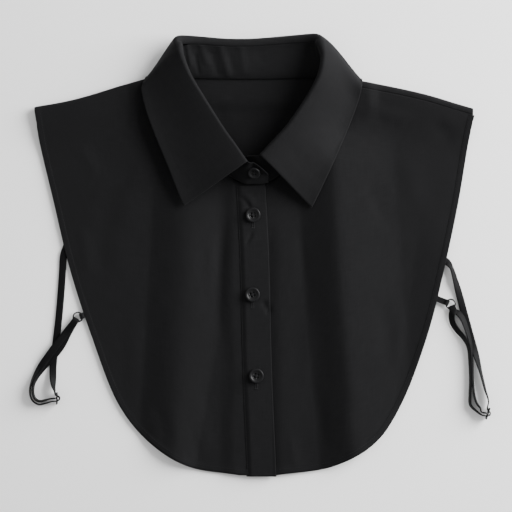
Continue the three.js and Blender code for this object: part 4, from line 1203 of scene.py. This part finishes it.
# A slider is x, y, z and its heading. A ring has the headings that its tab and strap take.
# single is the strap's first run, and pair is the middle of its loop's two runs.
STRAPS = {
    "right": {
        "slider": (-167.1, -120.7, 5.1, 90.0),
        "ring": {"x": -149.6, "y": -51.9, "z": 2.5, "tab": 17.8, "length": 6.1, "strap": 235.0},
        "single": table("x y lift lean", [
            (-158.6, 10, 0.45, 0), (-161.8, 0.4, 0.3, 0), (-162.8, -14, 0, 0),
            (-164.2, -34, 0, 0), (-166, -54, 0, 0), (-168.4, -74, 0, 0),
            (-170.6, -92, 0, 0), (-170.8, -103, 0.2, -20), (-170.2, -111, 1.2, -66),
        ]),
        "pair": table("x y lean spread liftOut liftBack", [
            (-177.5, -123.8, -82, 2.6, 1, 1), (-182.6, -124.6, -79, 2.8, 0.2, 0.2),
            (-187, -121.8, -79, 2.8, 0, 0), (-188.9, -116, -78, 2.6, 0, 0),
            (-188, -108.5, -76, 2.2, 0, 0), (-184.6, -101, -58, 2, 0.2, 0),
            (-180, -94, -24, 2, 1.5, 0), (-174.6, -87.4, 0, 3, 2.9, 1.4),
            (-169, -80.5, 0, 4, 3, 1.5), (-163.6, -73.2, 0, 3.4, 2.7, 1.1),
            (-158.6, -65, 0, 1.6, 2.4, 0.5),
        ]),
    },
    "left": {
        "slider": (198.3, -133.6, 5.1, 72.0),
        "ring": {"x": 167.0, "y": -40.8, "z": 2.5, "tab": 158.8, "length": 13.3, "strap": 293.0},
        "single": table("x y lift lean", [
            (160.4, -2.6, 0.4, 0), (164.2, -5.4, 0.1, -20), (167.6, -10, 0, -62),
            (170.6, -19.5, 0, -48), (174.3, -32.5, 0, -14), (178.3, -47.6, 0, 0),
            (182.3, -62, 0, 0), (186, -75.5, 0, -4), (189.4, -87, 0, -40),
            (192.3, -98, 0, -66), (196, -112.5, 0.4, -74), (199, -123.5, 1.6, -84),
        ]),
        "pair": table("x y lean spread liftOut liftBack", [
            (190.6, -130.6, -80, 4, 0.6, 0.6), (186.3, -125.4, -76, 5.4, 0, 0),
            (185.2, -117.6, -76, 3.6, 0, 0), (184.8, -107, -76, 1.9, 0, 0),
            (184.4, -92, -74, 1.9, 0.1, 0.1), (183.2, -77, -66, 2.2, 1.4, 1.4),
            (180.2, -68.6, -56, 4.4, 1.4, 1.4), (176, -61, -46, 8, 0.4, 1.4),
            (172.6, -54.4, -40, 9, 0.2, 1.4), (170.2, -48.6, -34, 5, 2.4, 0.4),
        ]),
    },
}
# How a strap weaves round its slider's middle bar: across the plate and along it.
WEAVE = table("across along", [
    (-2, 6), (-1.7, 4.3), (-0.9, 2.7), (0.4, 2.1), (1.7, 1.3), (2.1, 0), (1.7, -1.3),
    (0.4, -2.1), (-1.4, -2.5), (-4, -2.8),
])
RETURN_END = table("across along", [(-5.5, -0.3), (-1.05, 0)])
RING_TURN = 1.9          # radius of the strap's turn round the ring's wire
RING_SHARE = 0.97        # of its width that the strap keeps there
ELASTIC_WALL = 1.1       # wall of the elastic as it is seen
SHOWN_WIRE = 0.65        # radius of the ring's wire as it is seen, under its enamel


def lean_rise(lean):
    """Height of a strap's middle when it lies leaning over on its lower edge."""
    turned = math.radians(abs(lean))
    return STRAP_WIDTH / 2 * math.sin(turned) + STRAP_WALL / 2 * math.cos(turned)


def strap_places(strap):
    """The strap's places: middle, lean, width share, and which way its width lies."""
    sx, sy, sz, heading = strap["slider"]
    turned = math.radians(heading)
    ux, uy = math.cos(turned), math.sin(turned)
    single, pair, ring = strap["single"], strap["pair"], strap["ring"]
    places = []

    def add(at, lean, width=1.0, side=1.0, level=None):
        places.append({"at": at, "lean": lean, "width": width, "side": side, "level": level})

    def weave(rows, side):
        for across, along in zip(rows["across"], rows["along"]):
            add((sx + ux * along + uy * across, sy + uy * along - ux * across, sz), -88, side=side)

    def run(side):
        rows = list(zip(*pair.values()))
        made = []
        for i, (x, y, lean, spread, lift_out, lift_back) in enumerate(rows):
            before, after = rows[max(0, i - 1)], rows[min(len(rows) - 1, i + 1)]
            dx, dy = after[0] - before[0], after[1] - before[1]
            long = math.hypot(dx, dy)
            lift = lift_out if side > 0 else lift_back
            made.append(((
                x - dy / long * side * spread / 2, y + dx / long * side * spread / 2,
                lift + lean_rise(lean),
            ), lean))
        return made

    for x, y, lift, lean in zip(*single.values()):
        add((x, y, lift + lean_rise(lean)), lean)
    weave(WEAVE, 1.0)
    for at, lean in run(1):
        add(at, lean)
    out = math.radians(ring["strap"])
    ox, oy = math.cos(out), math.sin(out)
    wire = (ring["x"] + ox * (RING_RADIUS - 0.3), ring["y"] + oy * (RING_RADIUS - 0.3))
    for t in (-1.2, 0, 0.25, 0.5, 0.75, 1, 2.2):
        angle = math.pi * min(max(t, 0), 1)
        far = (max(0, -t) + max(0, t - 1)) * 1.6 - RING_TURN * math.sin(angle)
        add((wire[0] + ox * far, wire[1] + oy * far, ring["z"] + RING_TURN * math.cos(angle)),
            0, RING_SHARE, 1.0, (oy, -ox, 0.0))
    for at, lean in reversed(run(-1)):
        add(at, lean, side=-1.0)
    weave(RETURN_END, -1.0)
    return places


def strap_lie(places, t):
    """A strap's lean at each t, and which way its width and its thickness point there."""
    middle = through([p["at"] for p in places], even=False)
    numbers = np.arange(len(places))
    lean = np.radians(np.interp(t, numbers, [p["lean"] for p in places]))
    along = unit(middle(t + 0.02) - middle(t - 0.02))
    level = unit(np.column_stack([-along[:, 1], along[:, 0], 0 * t]))
    for i, k in enumerate(np.minimum(t.astype(int), len(places) - 2)):
        level[i] *= places[k]["side"]
        if places[k]["level"] is not None:
            level[i] = places[k]["level"]
    up = np.cross(along, level)
    leaning = level * np.cos(lean)[:, None] + up * np.sin(lean)[:, None]
    wide = unit(smoothed(leaning, 4))
    return lean, wide, unit(np.cross(along, wide))


def make_strap(side, strap):
    """The elastic as a thin flat band with softly rounded edges, and its middle line."""
    places = strap_places(strap)
    steps = 10
    t = np.linspace(0, len(places) - 1, (len(places) - 1) * steps + 1)
    at = through([p["at"] for p in places], even=False)(t)
    lean, wide, thick = strap_lie(places, t)
    width = STRAP_WIDTH * np.interp(t, np.arange(len(places)), [p["width"] for p in places])
    lowest = width / 2 * np.abs(np.sin(lean)) + STRAP_WALL / 2 + 0.05
    at[:, 2] = np.maximum(at[:, 2], lowest)
    half = [
        (1.0, 0.18), (0.94, 0.42), (0.6, 0.5), (0.0, 0.5), (-0.6, 0.5), (-0.94, 0.42), (-1.0, 0.18),
    ]
    outline = half + [(-a, -b) for a, b in half]
    rings = [
        at + wide * (a * width / 2)[:, None] + thick * (b * ELASTIC_WALL) for a, b in outline
    ]
    points = np.stack(rings, 1)
    count, around = points.shape[:2]
    faces = []
    for i in range(count - 1):
        for j in range(around):
            a, b = i * around + j, i * around + (j + 1) % around
            faces.append((a, b, b + around, a + around))
    faces.append(tuple(range(around - 1, -1, -1)))
    faces.append(tuple((count - 1) * around + j for j in range(around)))
    name = f"shown_strap_{side}"
    mesh = bpy.data.meshes.new(name)
    mesh.from_pydata((points.reshape(-1, 3) * MM).tolist(), [], faces)
    run = run_along(at)
    flat = [(a * STRAP_WIDTH / 2, run[i]) for i in range(count) for a, _ in outline]
    add_uv(mesh, np.array(flat) * MM)
    shade_softly(mesh)
    return add_object(name, mesh, ELASTIC), at, run[-1]


def make_ring(side, ring):
    """The round wire ring that the strap runs through."""
    bpy.ops.mesh.primitive_torus_add(
        major_radius=RING_RADIUS * MM, minor_radius=SHOWN_WIRE * MM,
        major_segments=48, minor_segments=12,
    )
    piece = bpy.context.object
    piece.data.transform(Matrix.Translation(Vector((ring["x"], ring["y"], ring["z"])) * MM))
    piece.name = piece.data.name = f"shown_ring_{side}"
    piece.data.materials.append(ENAMEL)
    shade_softly(piece.data)
    return piece


def swept(name, outline, depth, material, turned, place):
    """A closed outline swept through a depth, stood up and turned to a heading."""
    count = len(outline)
    points = [(x, y, z) for z in (-depth / 2, depth / 2) for x, y in outline]
    faces = [(i, (i + 1) % count, (i + 1) % count + count, i + count) for i in range(count)]
    faces.append(tuple(range(count - 1, -1, -1)))
    faces.append(tuple(range(count, 2 * count)))
    c, s = math.cos(turned), math.sin(turned)
    moved = [(x * c + z * s, x * s - z * c, y) for x, y, z in points]
    mesh = bpy.data.meshes.new(name)
    mesh.from_pydata([tuple((Vector(p) + Vector(place)) * MM) for p in moved], [], faces)
    add_uv(mesh, np.array([(x, y + z) for x, y, z in points]) * MM)
    mesh.update()
    return add_object(name, mesh, material)


TAB_WIDTH = 4.9
SLIDER_PLATE = (10.2, 1.2, 9.0)
SLIDER_SLOT = (3.3, 4.0, 6.8)    # deeper than the plate, to cut right through it
SLIDER_HALF_BAR = 0.6


def make_tab(side, ring):
    """The tab folded round the ring: an eye and a double tail to the armhole."""
    outer, inner, tail = 2.1, 1.25, 0.75
    end = ring["length"] - RING_RADIUS
    half_slit = 0.06
    spread = math.asin(tail / outer)
    arc = np.linspace(spread, 2 * math.pi - spread, 28)
    shape = [(outer * math.cos(a), outer * math.sin(a)) for a in arc]
    shape += [(end, -tail), (end, -half_slit)]
    slit = math.asin(half_slit / inner)
    back = np.linspace(2 * math.pi - slit, slit, 24)
    shape += [(inner * math.cos(a), inner * math.sin(a)) for a in back]
    shape += [(end, half_slit), (end, tail)]
    turned = math.radians(ring["tab"])
    shift = RING_RADIUS - 0.35
    place = (ring["x"] + math.cos(turned) * shift, ring["y"] + math.sin(turned) * shift, ring["z"])
    return swept(f"shown_tab_{side}", shape, TAB_WIDTH, SHIRTING, turned, place)


def make_slider(side, strap):
    """A moulded slider: a rounded plate with a slot on each side of its middle bar."""
    sx, sy, sz, heading = strap["slider"]
    bpy.ops.mesh.primitive_cube_add(size=1)
    plate = bpy.context.object
    plate.scale = Vector(SLIDER_PLATE) * MM
    bpy.ops.object.transform_apply(scale=True)
    cutters = []
    aside = (SLIDER_HALF_BAR + SLIDER_SLOT[0] / 2) * MM
    for place in (-aside, aside):
        bpy.ops.mesh.primitive_cube_add(size=1, location=(place, 0, 0))
        cutter = bpy.context.object
        cutter.scale = Vector(SLIDER_SLOT) * MM
        bpy.ops.object.transform_apply(scale=True, location=True)
        cutters.append(cutter)
        cut_away(plate, cutter)
    soft = plate.modifiers.new("soft_edges", "BEVEL")
    soft.width, soft.segments, soft.limit_method = 0.32 * MM, 3, "ANGLE"
    mesh = plain_mesh(plate)
    for spare in (plate, *cutters):
        bpy.data.objects.remove(spare)
    moved = Matrix.Translation(Vector((sx, sy, sz)) * MM)
    mesh.transform(moved @ Matrix.Rotation(math.radians(heading), 4, "Z"))
    mesh.name = f"shown_slider_{side}"
    shade_softly(mesh)
    return add_object(mesh.name, mesh, SLIDER_PLASTIC)


# ---------- camera and light

def look_down(height, width, middle):
    """A camera straight above the flat lay, framed to a width."""
    camera = bpy.data.cameras.new("camera")
    camera.sensor_width = 36
    camera.lens = 36 * height / width
    holder = bpy.data.objects.new("camera", camera)
    holder.location = (middle, 0, height)
    bpy.context.scene.collection.objects.link(holder)
    bpy.context.scene.camera = holder


def soft_light(name, place, size, power):
    """A round lamp of a size in metres that faces the middle of the collar."""
    light = bpy.data.lights.new(name, "AREA")
    light.shape, light.size, light.energy = "DISK", size, power
    holder = bpy.data.objects.new(name, light)
    holder.location = place
    holder.rotation_euler = (-Vector(place)).to_track_quat("-Z", "Y").to_euler()
    bpy.context.scene.collection.objects.link(holder)


look_down(height=2.6, width=0.4352, middle=0.0017)
soft_light("key", (1.38, 0.62, 0.7), size=1.5, power=118.0)
soft_light("fill", (-0.9, 0.5, 1.5), size=1.6, power=4.0)
world = bpy.data.worlds.new("studio")
bpy.context.scene.world = world
world.use_nodes = True
sky = world.node_tree.nodes["Background"].inputs
sky["Color"].default_value = (1, 1, 1, 1)
sky["Strength"].default_value = 0.6


# ---------- the collar

def show(piece, node=None):
    """Attaches a piece to the one rigid body, and hides the solid that it stands for."""
    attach(piece, "root")
    if node is not None:
        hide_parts(node)


for side, strap in STRAPS.items():
    elastic, middle, long = make_strap(side, strap)
    ring = make_ring(side, strap["ring"])
    slider = make_slider(side, strap)
    show(elastic, f"strap_{side}")
    show(ring, f"ring_{side}")
    show(slider, f"slider_{side}")
    show(make_tab(side, strap["ring"]), f"tab_{side}")
    [tuple(p) for p in middle * MM]

back = make_back()
front_right, right_hem = make_right_front()
front_left, left_hem = make_left_front()
band, band_stitch = make_band()
leaf = make_leaf()
stand, stand_seam = make_stand()
threads = [
    *make_buttonholes(), stitches("hem_stitches", [right_hem, left_hem]),
    stitches("band_stitches", [band_stitch]), stitches("stand_stitches", [stand_seam]),
]
for piece in threads:
    show(piece)

# Each sheet's flat cut as a rectangle round it, in metres, and the share of that it fills.
for piece, node, flat, share in (
    (back, "back", (0.375, 0.345), 0.72), (front_right, "front_right", (0.21, 0.345), 0.72),
    (front_left, "front_left", (0.205, 0.335), 0.72), (band, "button_band", (0.025, 0.247), 1.0),
    (stand, "collar_stand", (0.4, 0.034), 0.8), (leaf, "collar_leaf", (0.46, 0.07), 0.85),
):
    show(piece, node)


def sew_on_button(node, button, thread, at, tilt, spin):
    """A copy of a button and of its thread, turned, tilted and moved to its place."""
    placed = Matrix.Translation(Vector(at) * MM) @ tilt @ Matrix.Rotation(spin, 4, "Z")
    for name, source, stands_for in (
        (f"shown_{node}", button, node), (f"shown_{node}_thread", thread, None),
    ):
        mesh = source.copy()
        mesh.transform(placed)
        mesh.name = name
        show(add_object(name, mesh), stands_for)


shirt_button = button_mesh("shirt_button", SHIRT_BUTTON)
shirt_thread = thread_mesh("shirt_thread", thread_on_button(SHIRT_BUTTON), 0.16, SEWING_THREAD)
button_rise = PANEL_WALL * 1.5 + GAP * 2 + 0.1 + BUTTON_THICK / 2
flat_down = Matrix.Identity(4)
for i, (x, y, spin) in enumerate(zip(BUTTONS["x"], BUTTONS["y"], (0.1, 0.35, -0.2))):
    at = (x, y, float(over_level(x, y)) + button_rise)
    sew_on_button(f"button_{i + 1}", shirt_button, shirt_thread, at, flat_down, spin)

collar_button = button_mesh("collar_button", COLLAR_BUTTON)
collar_thread = thread_mesh("collar_thread", thread_on_button(COLLAR_BUTTON), 0.15, SEWING_THREAD)
low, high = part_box("button_collar")
at = (low + high) / 2 / MM
stand_slope = Vector((-0.14, -0.52, 0.845)).to_track_quat("Z", "Y").to_matrix().to_4x4()
sew_on_button("button_collar", collar_button, collar_thread, at, stand_slope, 0.2)

# White matte paper that the collar lies on, just below its lowest cloth.
FLOOR_HALF, FLOOR_LEVEL = 4.0, -0.0004
corners = [(-1, -1), (1, -1), (1, 1), (-1, 1)]
floor_mesh = bpy.data.meshes.new("floor")
floor_mesh.from_pydata(
    [(x * FLOOR_HALF, y * FLOOR_HALF, FLOOR_LEVEL) for x, y in corners], [], [(0, 1, 2, 3)]
)
paper, _, paper_skin = new_material("white_paper")
set_finish(paper_skin, Base_Color=linear("#f4f4f4"), Roughness=0.9)
add_object("floor", floor_mesh, paper)
